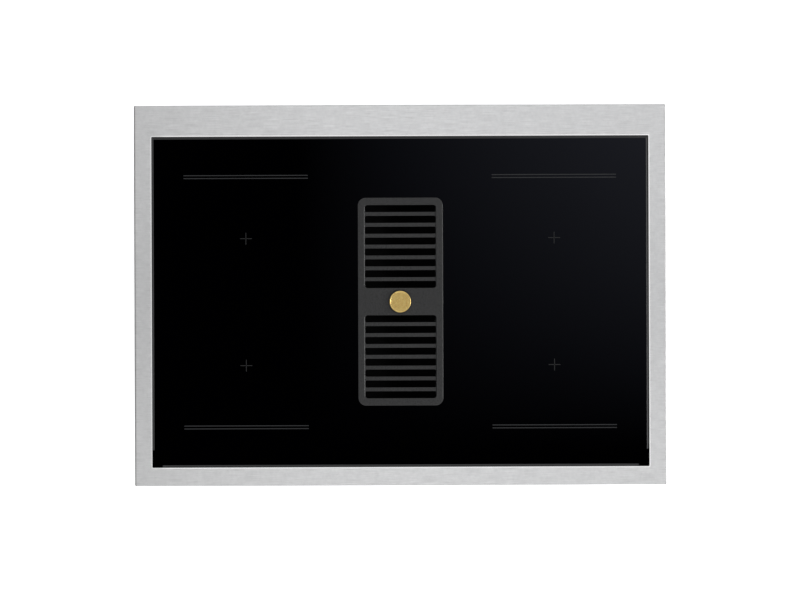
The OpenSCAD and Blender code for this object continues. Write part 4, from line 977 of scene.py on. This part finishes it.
grille = {
    "middle": (0.0006, -0.011), "low": 0.9003, "height": 0.006, "slatHeight": 0.0034,
    "width": 0.144, "length": 0.3517, "corner": 0.013,
    "openingWide": 0.1202, "openingLong": 0.1403, "openingCorner": 0.0046, "fieldsApart": 0.1866,
    "slots": 8, "pitch": 0.0184, "slotWide": 0.0121, "slotCorner": 0.0021, "slotShort": 0.0004, "lap": 0.002,
    "edge": 0.0005, "fillet": 0.002, "washer": (0.0156, 0.0208), "shadowRingLow": -0.0005, "shadowRingTop": 0.0005,
}


def makeGrille(size):
    place = at(*size["middle"], size["low"])
    wide, long, top = size["openingWide"], size["openingLong"], size["low"] + size["height"]
    rim = growPiece("grilleRim", plateTree, {
        "Width": size["width"], "Length": size["length"], "Corner": size["corner"], "Height": size["height"],
        "Slot Length": wide, "Slot Width": long, "Slot Corner": size["openingCorner"],
        "Rows": 1, "Fields": 2, "Fields Apart": size["fieldsApart"],
    }, grilleEnamel, matrix=place)

    def weigh(first, second):    # the long edges of the two openings get the widest round
        if min(first.z, second.z) < top - 0.0001:
            return 0.2
        inside = max(abs(first.x), abs(second.x)) < wide / 2 + 0.001
        return 0.35 + 0.65 * abs((second - first).normalized().y) if inside else 0.6

    reshape(rim, lambda shape: gradeEdges(shape, weigh, 40.0))
    bevelEdges(rim, size["fillet"], 4, weighted=True)
    slats = growPiece("grilleSlats", plateTree, {
        "Width": wide + size["lap"], "Length": long + size["fieldsApart"] + size["lap"], "Corner": size["lap"],
        "Height": size["slatHeight"], "Slot Length": wide - size["slotShort"], "Slot Width": size["slotWide"],
        "Slot Corner": size["slotCorner"], "Rows": size["slots"], "Row Pitch": size["pitch"],
        "Fields": 2, "Fields Apart": size["fieldsApart"],
    }, grilleEnamel, matrix=place)
    bevelEdges(slats, size["edge"], 2)
    # a black rubber washer under the brass knob; its black ring is painted shadow round the knob
    inner, outer = size["washer"]
    low, high = top + size["shadowRingLow"], top + size["shadowRingTop"]
    washer = turned("washer", [
        (inner, low), (outer, low), (outer, high - 0.0002), (outer - 0.0003, high), (inner, high), (inner, low),
    ], sealRubber, 96, at(0, size["middle"][1]))
    return settle(joinPieces("slattedGrille", [rim, slats, washer], 40.0), "extraction_grille")


makeGrille(grille)

brassKnob = {
    "middle": (0, -0.011, 0.9063), "neck": 0.014, "neckTop": 0.0018, "radius": 0.0183, "under": 0.0026,
    "top": 0.007, "soft": 0.0012, "rim": 0.0021, "field": 0.0063, "rings": (0.0118, 0.0052),
    "groove": 0.0005, "grooveDeep": 0.0002, "flank": 0.0002,
}


def knobProfile(size):
    r, soft, field, top, flank = size["radius"], size["soft"], size["field"], size["top"], size["flank"]
    points = [(0.0, 0.0), (size["neck"], 0.0), (size["neck"], size["neckTop"])]
    points += shifted([(-0.0025, 0), (-0.0004, 0.0002), (0, 0.0006)], r, size["under"])
    points += [(r - soft + x, top - soft + y) for x, y in ringPoints(soft, 24)[:7]]
    rim = r - size["rim"]
    points += [(rim + 0.0002, top), (rim, top - 0.0001), (rim - 0.0001, field + 0.0001), (rim - 0.0003, field)]
    for ring in size["rings"]:
        inner, deep = ring - size["groove"], field - size["grooveDeep"]
        points += [(ring, field), (ring - flank, deep), (inner, deep), (inner - flank, field)]
    return points + [(0.0, field)]


brassPiece = turned("brassKnob", knobProfile(brassKnob), brass, 128, at(*brassKnob["middle"]))
settle(shadeEdges(brassPiece, 25.0), "grille_knob")


def cassetteSide(middle):    # pressed sheet outside; inside, a near-black filter whose black is partly painted shade for the grille's slots
    low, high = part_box("filter_cassette")
    gaps = [abs(middle[axis] - limit[axis]) for axis in (0, 1) for limit in (low, high)]
    return 1 if min(*gaps, abs(middle.z - low.z)) < 0.0001 and middle.z < high.z - 0.001 else 0


dressNode("filter_cassette", [filterBlack, pressedSheet], 0.0004, choose=cassetteSide)

print("stage: panels and door")

for node, material, fold in (
    ("left_side_panel", steelSide, 0.0007),
    ("right_side_panel", steelSide, 0.0007),
    ("back_panel", zincSheet, 0.0006),
    ("base_panel", zincSheet, 0.0006),
    ("front_frame", frameEnamel, 0.0008),
    ("control_panel", steelFront, 0.0016),
    ("door_frame", steelFront, 0.0014),
    ("door_liner", ovenEnamel, 0.0007),
    ("drawer_front", steelFront, 0.0014),
    ("drawer_box", zincSheet, 0.0006),
    ("terminal_box", boxPlastic, 0.0018),
    ("outlet_spigot", zincSheet, 0.0006),
    ("oven_tray", ovenEnamel, 0.0005),
    ("coil_trays", pressedSheet, 0.0005),
    ("clock_display", clockBlack, 0.0006),
):
    dressNode(node, [material], fold, min(0.0004, fold * 0.7), 3)

handle = {
    "y": -0.301, "z": 0.712, "half": 0.4, "radius": 0.011, "post": 0.36, "postRadius": 0.008,
    "foot": 0.013, "footThick": 0.004, "flare": 0.007, "soft": 0.0006, "doorFace": -0.266,
    "end": [(0, 0), (0.6, 0), (0.88, 0.0008), (1, 0.003)],    # share of the radius, depth from the bar's end
    "collar": [(-0.001, -0.011), (0.0002, -0.0115), (0.0006, -0.0105), (0.0006, 0.0105), (0.0002, 0.0115),
               (-0.001, 0.011), (-0.001, -0.011)],
}


def makeHandle(size):
    r, half, foot, soft = size["radius"], size["half"], size["foot"], size["soft"]
    bar = [(r * share, deep - half) for share, deep in size["end"]]
    bar += [(r * share, half - deep) for share, deep in reversed(size["end"])]
    parts = [turned("bar", bar, steelBar, 64, at(0, size["y"], size["z"]) @ alongX)]
    reach = size["doorFace"] - size["y"]
    thin = reach - size["footThick"]
    post = [(0, 0), (size["postRadius"] * 0.9, 0), (size["postRadius"] * 0.82, reach * 0.5),
            (size["postRadius"], reach - size["flare"]), (foot - soft, thin), (foot, thin + soft),
            (foot, reach), (0, reach)]
    for side in (-1, 1):
        place = at(side * size["post"], size["y"], size["z"])
        parts.append(turned("post", post, steelBar, 48, place @ Matrix.Rotation(-math.pi / 2, 4, "X")))
        parts.append(turned("collar", shifted(size["collar"], r), steelBar, 64, place @ alongX))
    return settle(joinPieces("doorHandle", parts, 40.0), "door_handle")


makeHandle(handle)

print("stage: control knobs")

knobs = {
    "z": 0.802, "panelY": -0.272, "length": 0.031, "radius": 0.021, "stem": 0.003, "stemIn": 0.0165, "ribs": 40,
    "skirt": [(-0.0012, 0.0007), (-0.0002, 0.0012), (0, 0.002), (0, 0.0042), (-0.0006, 0.0052),
              (-0.0024, 0.006), (-0.0027, 0.0068)],    # from the rim and the panel
    "crown": [(-0.0032, -0.0032), (-0.0035, -0.0012), (-0.0044, -0.0002), (-0.0052, 0), (-0.0062, -0.0003),
              (-0.0068, -0.0009)],    # from the rim and the knob's top
    "dish": (0.006, 0.0011),
    "rib": [(-0.0004, -0.00055, 0.0006, 0.00055, 0.008, 0.0004),
            (-0.0006, -0.00055, 0.0004, 0.00055, 0.026, 0.0004)],
    "pointer": [(-0.0014, 0.0048, 0.0014, 0.0158, 0.029, 0.0013),
                (-0.0014, 0.0048, 0.0014, 0.0158, 0.0316, 0.0013),
                (-0.0011, 0.0051, 0.0011, 0.0155, 0.032, 0.001)],
    "places": {"knob_zone_front_left": -0.32, "knob_zone_rear_left": -0.225, "knob_oven_mode": -0.13,
               "knob_oven_heat": 0.13, "knob_zone_rear_right": 0.225, "knob_zone_front_right": 0.32},
}


def makeKnob(size, node, x):
    r, tall, stem, low = size["radius"], size["length"], size["stem"], -size["stemIn"]
    dish, deep = size["dish"]
    profile = [(0, low), (stem - 0.0003, low), (stem, low + 0.0003), (stem, 0.0009)] + shifted(size["skirt"], r)
    profile += shifted(size["crown"], r, tall) + [(dish, tall - deep), (0, tall - deep)]
    whole = joinPieces(node.replace("knob_", "dial_"), [
        turned("body", profile, steelBar, 96),
        ringOf(slab("rib", size["rib"], steelBar, 3), size["ribs"], r - 0.003),
        slab("pointer", size["pointer"], grilleEnamel, 5),
    ], 35.0)
    return settle(placed(whole, at(x, size["panelY"], size["z"]) @ facingFront), node)


for node, x in knobs["places"].items():
    makeKnob(knobs, node, x)

print("stage: dial marks")

dials = {
    "face": -0.27203, "ticks": 0.0246, "tickHalf": (0.0004, 0.0014), "labels": 0.0302, "digitWide": 0.0011,
    "letter": 0.0066, "thick": 0.00004, "sign": 0.0027, "signLine": 0.0002,
}
dialScales = {
    "zone": ([str(i) for i in range(10)], 30),
    "heat": ([str(i * 50) for i in range(6)], 54),
    "mode": (["0", "lamp", "top", "bottom", "both", "fan", "ringFan", "grill"], 45),
}
heatLines = {    # the lines of the mode signs, and whether they close
    "top": ([[(-0.6, 0.55), (0.6, 0.55)]], False),
    "bottom": ([[(-0.6, -0.55), (0.6, -0.55)]], False),
    "blades": ([[(-0.32, -0.32), (0.32, 0.32)], [(-0.32, 0.32), (0.32, -0.32)]], False),
    "ring": ([ringPoints(0.66, 16)], True),
    "waves": ([[(-0.6 + 0.2 * i, 0.7 if i % 2 else 0.4) for i in range(7)]], False),
    "rays": (list(zip(ringPoints(0.45, 8), ringPoints(0.85, 8))), False),
    "bulb": ([ringPoints(0.25, 12)], True),
    "case": ([[(-1, -1), (1, -1), (1, 1), (-1, 1)]], True),
}
modeSigns = {
    "lamp": ("bulb", "rays"), "top": ("case", "top"), "bottom": ("case", "bottom"),
    "both": ("case", "top", "bottom"), "fan": ("case", "blades"), "ringFan": ("case", "ring", "blades"),
    "grill": ("case", "waves"),
}


def signPiece(label, size):
    parts = []
    for part in modeSigns[label]:
        lines, closed = heatLines[part]
        paths = [[(x * size["sign"], y * size["sign"], 0) for x, y in line] for line in lines]
        parts.append(wirePiece(part, size["signLine"], 0.0, paths, printBlack, 6, closed))
    return placed(joinPieces(label, parts), Matrix.Diagonal((1, 1, size["thick"] / size["signLine"], 1)))


def numberPiece(label, size):
    data = bpy.data.curves.new(label, "FONT")
    data.body = label
    data.size = size["letter"]
    data.extrude = size["thick"]
    data.resolution_u = 4
    data.align_x = data.align_y = "CENTER"
    piece = linked(label, data)
    mesh = bpy.data.meshes.new_from_object(piece.evaluated_get(bpy.context.evaluated_depsgraph_get()))
    bpy.data.objects.remove(piece)
    return newPiece(label, mesh, [printBlack])


def makeDialMarks(size):
    wide, tall = size["tickHalf"]
    tick = [(-wide, -tall, wide, tall, z, wide * 0.9) for z in (-size["thick"], size["thick"])]
    marks = []
    for node, x in knobs["places"].items():
        labels, step = dialScales[node.split("_")[2] if node.startswith("knob_oven") else "zone"]
        step = math.radians(step)
        spokes = [(math.sin(step * i), math.cos(step * i)) for i in range(len(labels))]
        place = at(x, size["face"], knobs["z"]) @ facingFront
        points = [(size["ticks"] * a, size["ticks"] * b, 0) for a, b in spokes]
        marks.append(copiesAt("ticks", slab("tick", tick, printBlack, 3), points, -step, place))
        for label, (a, b) in zip(labels, spokes):
            mark = signPiece(label, size) if label in modeSigns else numberPiece(label, size)
            reach = size["labels"] + size["digitWide"] * (len(label) - 1 if label.isdigit() else 0) * abs(a)
            marks.append(placed(mark, place @ at(reach * a, reach * b)))
    return settle(joinPieces("dialMarks", marks), "control_panel", ())


makeDialMarks(dials)

clockDigits = {
    "face": -0.27354, "tall": 0.02, "wide": 0.0105, "line": 0.0009, "pitch": 0.0165, "thick": 0.00003,
    "dots": 0.003, "text": "12:00",
}
clockLines = {"1": "bc", "2": "abged", "0": "abcdef"}
clockBars = {"a": (0, 1, 1), "g": (0, 0, 1), "d": (0, -1, 1), "b": (1, 0.5, 0), "c": (1, -0.5, 0),
             "e": (-1, -0.5, 0), "f": (-1, 0.5, 0)}    # place in half digits, and whether the bar lies flat


def makeClockDigits(size):
    half, side, line, pitch = size["tall"] / 2, size["wide"] / 2, size["line"], size["pitch"]
    short, thick = line * 1.4, size["thick"]
    pieces = []

    def addBar(x, y, wide=line, tall=line):
        rows = [(x - wide, y - tall, x + wide, y + tall, z, line * 0.7) for z in (-thick, thick)]
        pieces.append(slab("bar", rows, clockGlow, 3))

    across = -2 * pitch
    for sign in size["text"]:
        if sign == ":":
            across += pitch * 0.3
            for y in (half * 0.4, half * -0.4):
                addBar(across - size["dots"], y)
            across += pitch * 0.4
            continue
        for letter in clockLines[sign]:
            x, y, flat = clockBars[letter]
            wide, tall = (side - short, line) if flat else (line, half / 2 - short)
            addBar(across + x * side, y * half, wide, tall)
        across += pitch
    piece = placed(joinPieces("clockDigits", pieces), at(0, size["face"], knobs["z"]) @ facingFront)
    return settle(piece, "clock_display", ())


makeClockDigits(clockDigits)

print("stage: legs and feet")

legs = {
    "x": 0.4, "ys": (-0.185, 0.255), "radius": 0.022, "low": 0.022, "high": 0.11, "bore": 0.00805,
    "foot": [(-0.0022, 0), (-0.0008, 0.0006), (0, 0.002), (0, 0.011), (-0.0006, 0.0116), (-0.0014, 0.0122)],
    "head": [(-0.0014, -0.022), (-0.0006, -0.0214), (0, -0.0208), (0, -0.003)],
    "plateHalf": (0.032, 0.03), "plateThick": 0.003, "plateCorner": 0.004,
}


def makeLegs(size):
    r, low, high, bore = size["radius"], size["low"], size["high"], size["bore"]
    wide, deep = size["plateHalf"]
    under = high - size["plateThick"]
    tube = [(bore, low)] + shifted(size["foot"], r, low) + shifted(size["head"], r, high)
    tube += [(bore, under), (bore, low)]
    parts = []
    for x in (-size["x"], size["x"]):
        for y in size["ys"]:
            rows = [(x - wide, y - deep, x + wide, y + deep, z, size["plateCorner"]) for z in (under, high)]
            parts += [turned("tube", tube, steelLeg, 64, at(x, y)), slab("plate", rows, steelLeg, 5)]
    return settle(joinPieces("legTubes", parts, 40.0), "legs")


makeLegs(legs)

feet = {
    "radius": 0.024, "pad": 0.01, "nut": 0.02, "nutLow": 0.009, "nutTop": 0.0217, "nutSoft": 0.0008,
    "stem": 0.008, "stemTop": 0.099, "threadLow": 0.022, "threadDeep": 0.0006, "threadPitch": 0.001,
    "threadSteps": 76, "ribs": 32,
    "padEdge": [(-0.0025, 0), (-0.0008, 0.0006), (0, 0.002), (0, 0.0065), (-0.0012, 0.0085), (-0.004, 0.01)],
    "rib": [(-0.0007, -0.0005, 0.00015, 0.0005, z, 0.0003) for z in (0.0022, 0.0062)],
}


def makeFoot(size, node, x, y):
    r, pad, nut, stem = size["radius"], size["pad"], size["nut"], size["stem"]
    low, high, top = size["nutLow"], size["nutTop"], size["stemTop"]
    thread = [(stem - size["threadDeep"] * (i % 2), size["threadLow"] + i * size["threadPitch"])
              for i in range(size["threadSteps"])]
    parts = [
        turned("pad", [(0, 0)] + shifted(size["padEdge"], r) + [(0, pad)], footRubber, 72),
        bevelEdges(turned("nut", [(0, low), (nut, low), (nut, high), (0, high)], chromeWire, 6),
                   size["nutSoft"], 2),
        turned("stem", [(0, pad)] + thread + [(stem - 0.001, top), (0, top)], chromeWire, 24),
        ringOf(slab("rib", size["rib"], footRubber, 2), size["ribs"], r - 0.0002),
    ]
    whole = joinPieces(node.replace("foot_", "level_foot_"), parts, 40.0)
    return settle(placed(whole, at(x, y)), node)


for end, y in zip(("front", "rear"), legs["ys"]):
    for side, x in (("left", -legs["x"]), ("right", legs["x"])):
        makeFoot(feet, "foot_%s_%s" % (end, side), x, y)

print("stage: oven furniture")

wireRack = {"bar": 0.0025, "bend": 0.006, "wire": 0.0015, "wires": 19}


def makeRack(size):
    low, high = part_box("wire_rack")
    middle, bar = (low.z + high.z) / 2, size["bar"]
    x, y0, y1 = high.x - bar, low.y + bar, high.y - bar
    path = [(-x, y0, middle), (x, y0, middle), (x, y1, middle), (-x, y1, middle)]
    rim = wirePiece("rim", bar, size["bend"], [path], chromeWire, closed=True)
    step = 2 * high.x / (size["wires"] + 1)
    across = [i * step - high.x for i in range(1, size["wires"] + 1)]
    paths = [[(x, y0, middle), (x, y1, middle)] for x in across]
    wires = wirePiece("wires", size["wire"], 0.0, paths, chromeWire, 10)
    return settle(joinPieces("ovenRack", [rim, wires], 50.0), "wire_rack")


makeRack(wireRack)

rearScrew = {"head": 0.005, "thick": 0.0025, "shank": 0.002, "grip": 0.008, "point": 0.001, "turn": 0.7}


def screwsAt(name, node, points, place, replaced=()):
    r, tall, shank, grip = rearScrew["head"], rearScrew["thick"], rearScrew["shank"], rearScrew["grip"]
    head = turned("head", [
        (0, -grip), (shank * 0.6, -grip), (shank, rearScrew["point"] - grip), (shank, 0), (r, 0),
        (r, tall * 0.45), (r * 0.9, tall * 0.8), (r * 0.62, tall), (r * 0.34, tall), (r * 0.3, tall * 0.45),
        (0, tall * 0.4),
    ], chromeWire, 20)
    screws = copiesAt(name, head, [(x, y, 0) for x, y in points], rearScrew["turn"], place)
    return settle(shadeEdges(screws, 40.0), node, replaced)


def ontoRear(y):
    return at(0, y) @ facingRear


def gridOf(xs, ys):
    return [(x, y) for x in xs for y in ys]


screwsAt("rearScrews", "panel_screws", gridOf((-0.4345, 0.4345), [0.16 + i * 0.62 / 3 for i in range(4)]),
         ontoRear(0.29), None)
screwsAt("spigotScrews", "outlet_spigot", gridOf((-0.118, -0.008), (0.119, 0.229)), ontoRear(0.292))
screwsAt("coverScrews", "fan_cover", gridOf((-0.251, 0.251), (0.4015, 0.5965)), at(0, 0.15) @ facingFront)

terminalLid = {"x": (0.302, 0.378), "z": (0.142, 0.218), "face": 0.317, "low": -0.0005, "thick": 0.0012,
               "corner": 0.003, "soft": 0.0005, "inset": 0.008}


def makeTerminalLid(size):
    (x0, x1), (z0, z1) = size["x"], size["z"]
    top, corner, soft, inset = size["thick"], size["corner"], size["soft"], size["inset"]
    lid = slab("terminalLid", [
        (x0, z0, x1, z1, size["low"], corner), (x0, z0, x1, z1, top - soft, corner),
        (x0 + soft, z0 + soft, x1 - soft, z1 - soft, top, corner - soft),
    ], boxPlastic)
    settle(shadeEdges(placed(lid, ontoRear(size["face"])), 30.0), "terminal_box", ())
    screwsAt("lidScrews", "terminal_box", gridOf((x0 + inset, x1 - inset), (z0 + inset, z1 - inset)),
             ontoRear(size["face"] + top))


makeTerminalLid(terminalLid)

louvres = {
    "rise": 0.0085, "drop": 0.4, "deep": 0.0045, "sink": 0.0002, "lap": 0.003, "sheet": 0.0008, "steps": 6,
    "face": 0.29,
    "fields": ((0.25, 0.35, 0.016, 10, 0.12), (-0.25, 0.35, 0.016, 10, 0.12), (-0.25, 0.759, 0.011, 7, 0.068)),
}


def louvreHood(size, wide):
    shape = bmesh.new()
    half = wide / 2 + size["lap"]
    arc = []
    for step in range(size["steps"] + 1):
        angle = math.pi / 2 * step / size["steps"]
        arc.append((size["rise"] * (math.cos(angle) - size["drop"]),
                    size["deep"] * math.sin(angle) - size["sink"]))
    arc.append((arc[-1][0], arc[0][1]))
    rows = [[shape.verts.new((x, y, z)) for y, z in arc] for x in (-half, half)]
    for i in range(size["steps"]):
        shape.faces.new((rows[0][i], rows[0][i + 1], rows[1][i + 1], rows[1][i]))
    for row in rows:
        shape.faces.new(row)
    bmesh.ops.recalc_face_normals(shape, faces=shape.faces)
    hood = newPiece("hood", shape, [zincSheet])
    thick = hood.modifiers.new("sheet", "SOLIDIFY")
    thick.thickness = size["sheet"]
    thick.offset = -1
    return freeze(hood)


def makeLouvres(size):
    fields = []
    for x, low, pitch, count, wide in size["fields"]:
        points = [(-x, low + i * pitch, 0) for i in range(count)]
        fields.append(copiesAt("field", louvreHood(size, wide), points, place=ontoRear(size["face"])))
    return settle(joinPieces("ventLouvres", fields, 40.0), "back_panel", ())


makeLouvres(louvres)

print("stage: oven interior")

cavity = {
    "fillet": 0.01, "edge": 0.0003, "low": (-0.33, -0.218, 0.298), "high": (0.33, 0.185, 0.7),
    "near": 0.0002, "long": 0.2,
}


def makeCavity(size):
    low, high, near = size["low"], size["high"], size["near"]

    def weigh(first, second):    # the long inner corners are round, the rest stays crisp
        def on(axis, limit):
            return abs(first[axis] - limit[axis]) < near and abs(second[axis] - limit[axis]) < near

        sides = sum(on(axis, limit) for axis in (0, 2) for limit in (low, high))
        long = (first - second).length > size["long"]
        return 1.0 if long and (sides == 2 or (sides == 1 and on(1, high))) else size["edge"] / size["fillet"]

    shape = cadShape("oven_cavity")
    gradeEdges(shape, weigh)
    piece = bevelEdges(newPiece("ovenCavity", shape, [ovenEnamel]), size["fillet"], 5, weighted=True)
    return settle(shadeEdges(piece, 40.0), "oven_cavity")


makeCavity(cavity)

heaters = {
    "tube": 0.0035, "grillZ": 0.682, "firstRun": -0.245, "pitch": 0.07, "runs": 8, "front": -0.168,
    "rear": 0.12, "ends": 0.2115, "bend": 0.0348, "tie": 0.002, "tieX": 0.105, "tieYs": (-0.113, 0.065),
    "roof": 0.7, "fanX": 0.15, "fanZ": 0.499, "ring": 0.092, "ringY": 0.168, "ringSteps": 48, "lead": 0.014,
    "leadBend": 0.005,
}


def makeGrillElement(size):
    z, first, pitch, last = size["grillZ"], size["firstRun"], size["pitch"], size["runs"] - 1
    path = [(first, size["ends"], z)]
    for i in range(last):
        y = size["rear"] if i % 2 else size["front"]
        path += [(first + i * pitch, y, z), (first + (i + 1) * pitch, y, z)]
    path.append((first + last * pitch, size["ends"], z))
    ties = [[(x, y, z), (x, y, size["roof"])] for x, y in gridOf((-size["tieX"], size["tieX"]), size["tieYs"])]
    ties += [[(first, y, z), (-first, y, z)] for y in size["tieYs"]]
    parts = [wirePiece("loop", size["tube"], size["bend"], [path], darkTube, 14),
             wirePiece("ties", size["tie"], 0.0, ties, darkTube)]
    return settle(joinPieces("grillElement", parts, 50.0), "grill_element")


def makeRingElements(size):
    mouth, steps = math.asin(size["lead"] / size["ring"]), size["ringSteps"]
    paths = []
    for x in (-size["fanX"], size["fanX"]):
        arc = []
        for i in range(steps + 1):
            angle = mouth + (math.tau - 2 * mouth) * i / steps
            across, rise = size["ring"] * math.sin(angle), size["ring"] * math.cos(angle)
            arc.append((x + across, size["ringY"], size["fanZ"] + rise))
        ends = [(x + side * size["lead"], size["ends"], arc[0][2]) for side in (1, -1)]
        paths.append([ends[0]] + arc + [ends[1]])
    piece = wirePiece("ringElements", size["tube"], size["leadBend"], paths, darkTube, 14)
    return settle(shadeEdges(piece, 50.0), "ring_elements")


makeGrillElement(heaters)
makeRingElements(heaters)

supports = {
    "post": 0.003, "postX": 0.327, "postYs": (-0.184, 0.12), "postZs": (0.3012, 0.616), "rail": 0.0025,
    "railX": 0.322, "railYs": (-0.2, 0.136), "levels": 5, "firstLevel": 0.344, "levelPitch": 0.062,
    "railGap": 0.018, "railBend": 0.0085,
}


def makeRackSupports(size):
    (y0, y1), gap = size["railYs"], size["railGap"]
    posts, rails = [], []
    for side in (-1, 1):
        x = side * size["railX"]
        posts += [[(side * size["postX"], y, z) for z in size["postZs"]] for y in size["postYs"]]
        for i in range(size["levels"]):
            z = size["firstLevel"] + i * size["levelPitch"]
            rails.append([(x, y0, z), (x, y1, z), (x, y1, z + gap), (x, y0, z + gap)])
    parts = [wirePiece("posts", size["post"], 0.0, posts, chromeWire),
             wirePiece("rails", size["rail"], size["railBend"], rails, chromeWire, closed=True)]
    return settle(joinPieces("rackSupports", parts, 50.0), "rack_supports")


makeRackSupports(supports)

gasket = {"radius": 0.0043, "half": 0.3355, "y": -0.22535, "low": 0.293, "high": 0.7055, "bend": 0.008}


def makeGasket(size):
    x, y = size["half"], size["y"]
    path = [(-x, y, size["low"]), (x, y, size["low"]), (x, y, size["high"]), (-x, y, size["high"])]
    piece = wirePiece("mouthGasket", size["radius"], size["bend"], [path], sealRubber, 16, True)
    return settle(shadeEdges(piece, 60.0), "door_gasket")


makeGasket(gasket)

lamps = {
    "x": 0.288, "z": 0.66, "wall": 0.185,
    "lens": [(0, 0.012), (0.005, 0.0118), (0.0105, 0.0105), (0.0145, 0.008), (0.0164, 0.0045), (0.0166, 0.001),
             (0, 0.001)],
    "rim": [(0.0167, 0), (0.021, 0), (0.021, 0.0018), (0.0198, 0.0036), (0.0174, 0.0041), (0.0167, 0.0036),
            (0.0167, 0)],
    "body": [(0, 0.0006), (0.0165, 0.0006), (0.017, 0), (0.017, -0.03), (0.012, -0.033), (0.012, -0.0385),
             (0, -0.0385)],
}


def makeLamps(size):
    parts = [turned(key, size[key], material, 48, at(x, size["wall"], size["z"]) @ facingFront)
             for x in (-size["x"], size["x"])
             for key, material in (("lens", lampGlass), ("rim", chromeWire), ("body", lampBody))]
    return settle(joinPieces("ovenLamps", parts, 40.0), "oven_lamps")


makeLamps(lamps)

print("stage: coils and boards")

coils = {
    "xs": (-0.261, 0.261), "ys": (-0.1185, 0.0965), "turns": 14, "first": 0.0325, "pitch": 0.00455,
    "stretch": 0.00014, "corner": 0.016, "cornerGrow": 0.0013, "wire": 0.0019, "wireZ": 0.8895,
    "plateZs": (0.886, 0.888), "plateHalf": (0.095, 0.097), "plateCorner": 0.034, "holeHalf": 0.03,
    "holeCorner": 0.015,
}


def makeCoils(size):
    turns = []
    for i in range(size["turns"]):
        half = size["first"] + size["pitch"] * i
        tall, corner = half + size["stretch"] * i, size["corner"] + size["cornerGrow"] * i
        turns.append(cornerLoop(-half, -tall, half, tall, size["wireZ"], corner, 5))
    wound = wirePiece("wound", size["wire"], 0.0, turns, copperWire, 8, True)
    (wide, long), hole = size["plateHalf"], size["holeHalf"]
    loops = [cornerLoop(-wide, -long, wide, long, z, size["plateCorner"], 6) for z in size["plateZs"]]
    loops += [cornerLoop(-hole, -hole, hole, hole, z, size["holeCorner"], 6) for z in reversed(size["plateZs"])]
    plate = newPiece("plate", loftLoops(loops), [boxPlastic])
    points = [(x, y, 0) for x, y in gridOf(size["xs"], size["ys"])]
    parts = [copiesAt("copies", template, points) for template in (wound, plate)]
    return settle(joinPieces("inductionCoils", parts, 40.0), "induction_coils")


makeCoils(coils)

boards = {"middle": 0.24735, "low": 0.8221, "high": 0.8243, "sinkEnd": 0.035}


def boardPart(place):    # board, sheet metal below and at the sinks, capacitors beside them
    if boards["low"] <= place.z < boards["high"]:
        return 0
    across = place.x - math.copysign(boards["middle"], place.x)
    return 1 if place.z < boards["low"] or across < boards["sinkEnd"] else 2


def motorPart(place):    # the small fan's frame is plastic, the shafts are bright
    if place.z > 0.7:
        return 2
    return 1 if place.z > 0.4 and place.y < 0.211 else 0


dressNode("power_boards", [boardMask, pressedSheet, capSleeve], 0.0003, segments=1, choose=boardPart)
dressNode("fan_motors", [motorPaint, chromeWire, boxPlastic], 0.0005, choose=motorPart)

print("stage: ducts, fans, rails and glasses")

for node, material, fold in (
    ("extraction_plenum", pressedSheet, 0.0008),
    ("rear_duct", zincSheet, 0.0008),
    ("blower_housing", boxPlastic, 0.0012),
    ("knob_encoders", boxPlastic, 0.0005),
    ("oven_insulation", woolFibre, 0.002),
    ("fan_cover", ovenEnamel, 0.0004),
    ("hinge_receivers", zincSheet, 0.0005),
    ("drawer_rails", zincSheet, 0.0005),
    ("blower_impeller", boxPlastic, 0.0003),
    ("backdraft_flap", pressedSheet, 0.0004),
    ("convection_fan_left", pressedSheet, 0.0003),
    ("convection_fan_right", pressedSheet, 0.0003),
    ("cooling_fan", boxPlastic, 0.0003),
    ("door_outer_glass", windowGlass, 0.0008),
    ("door_inner_glass", innerGlass, 0.0008),
    ("door_hinges", zincSheet, 0.0006),
):
    dressNode(node, [material], fold)
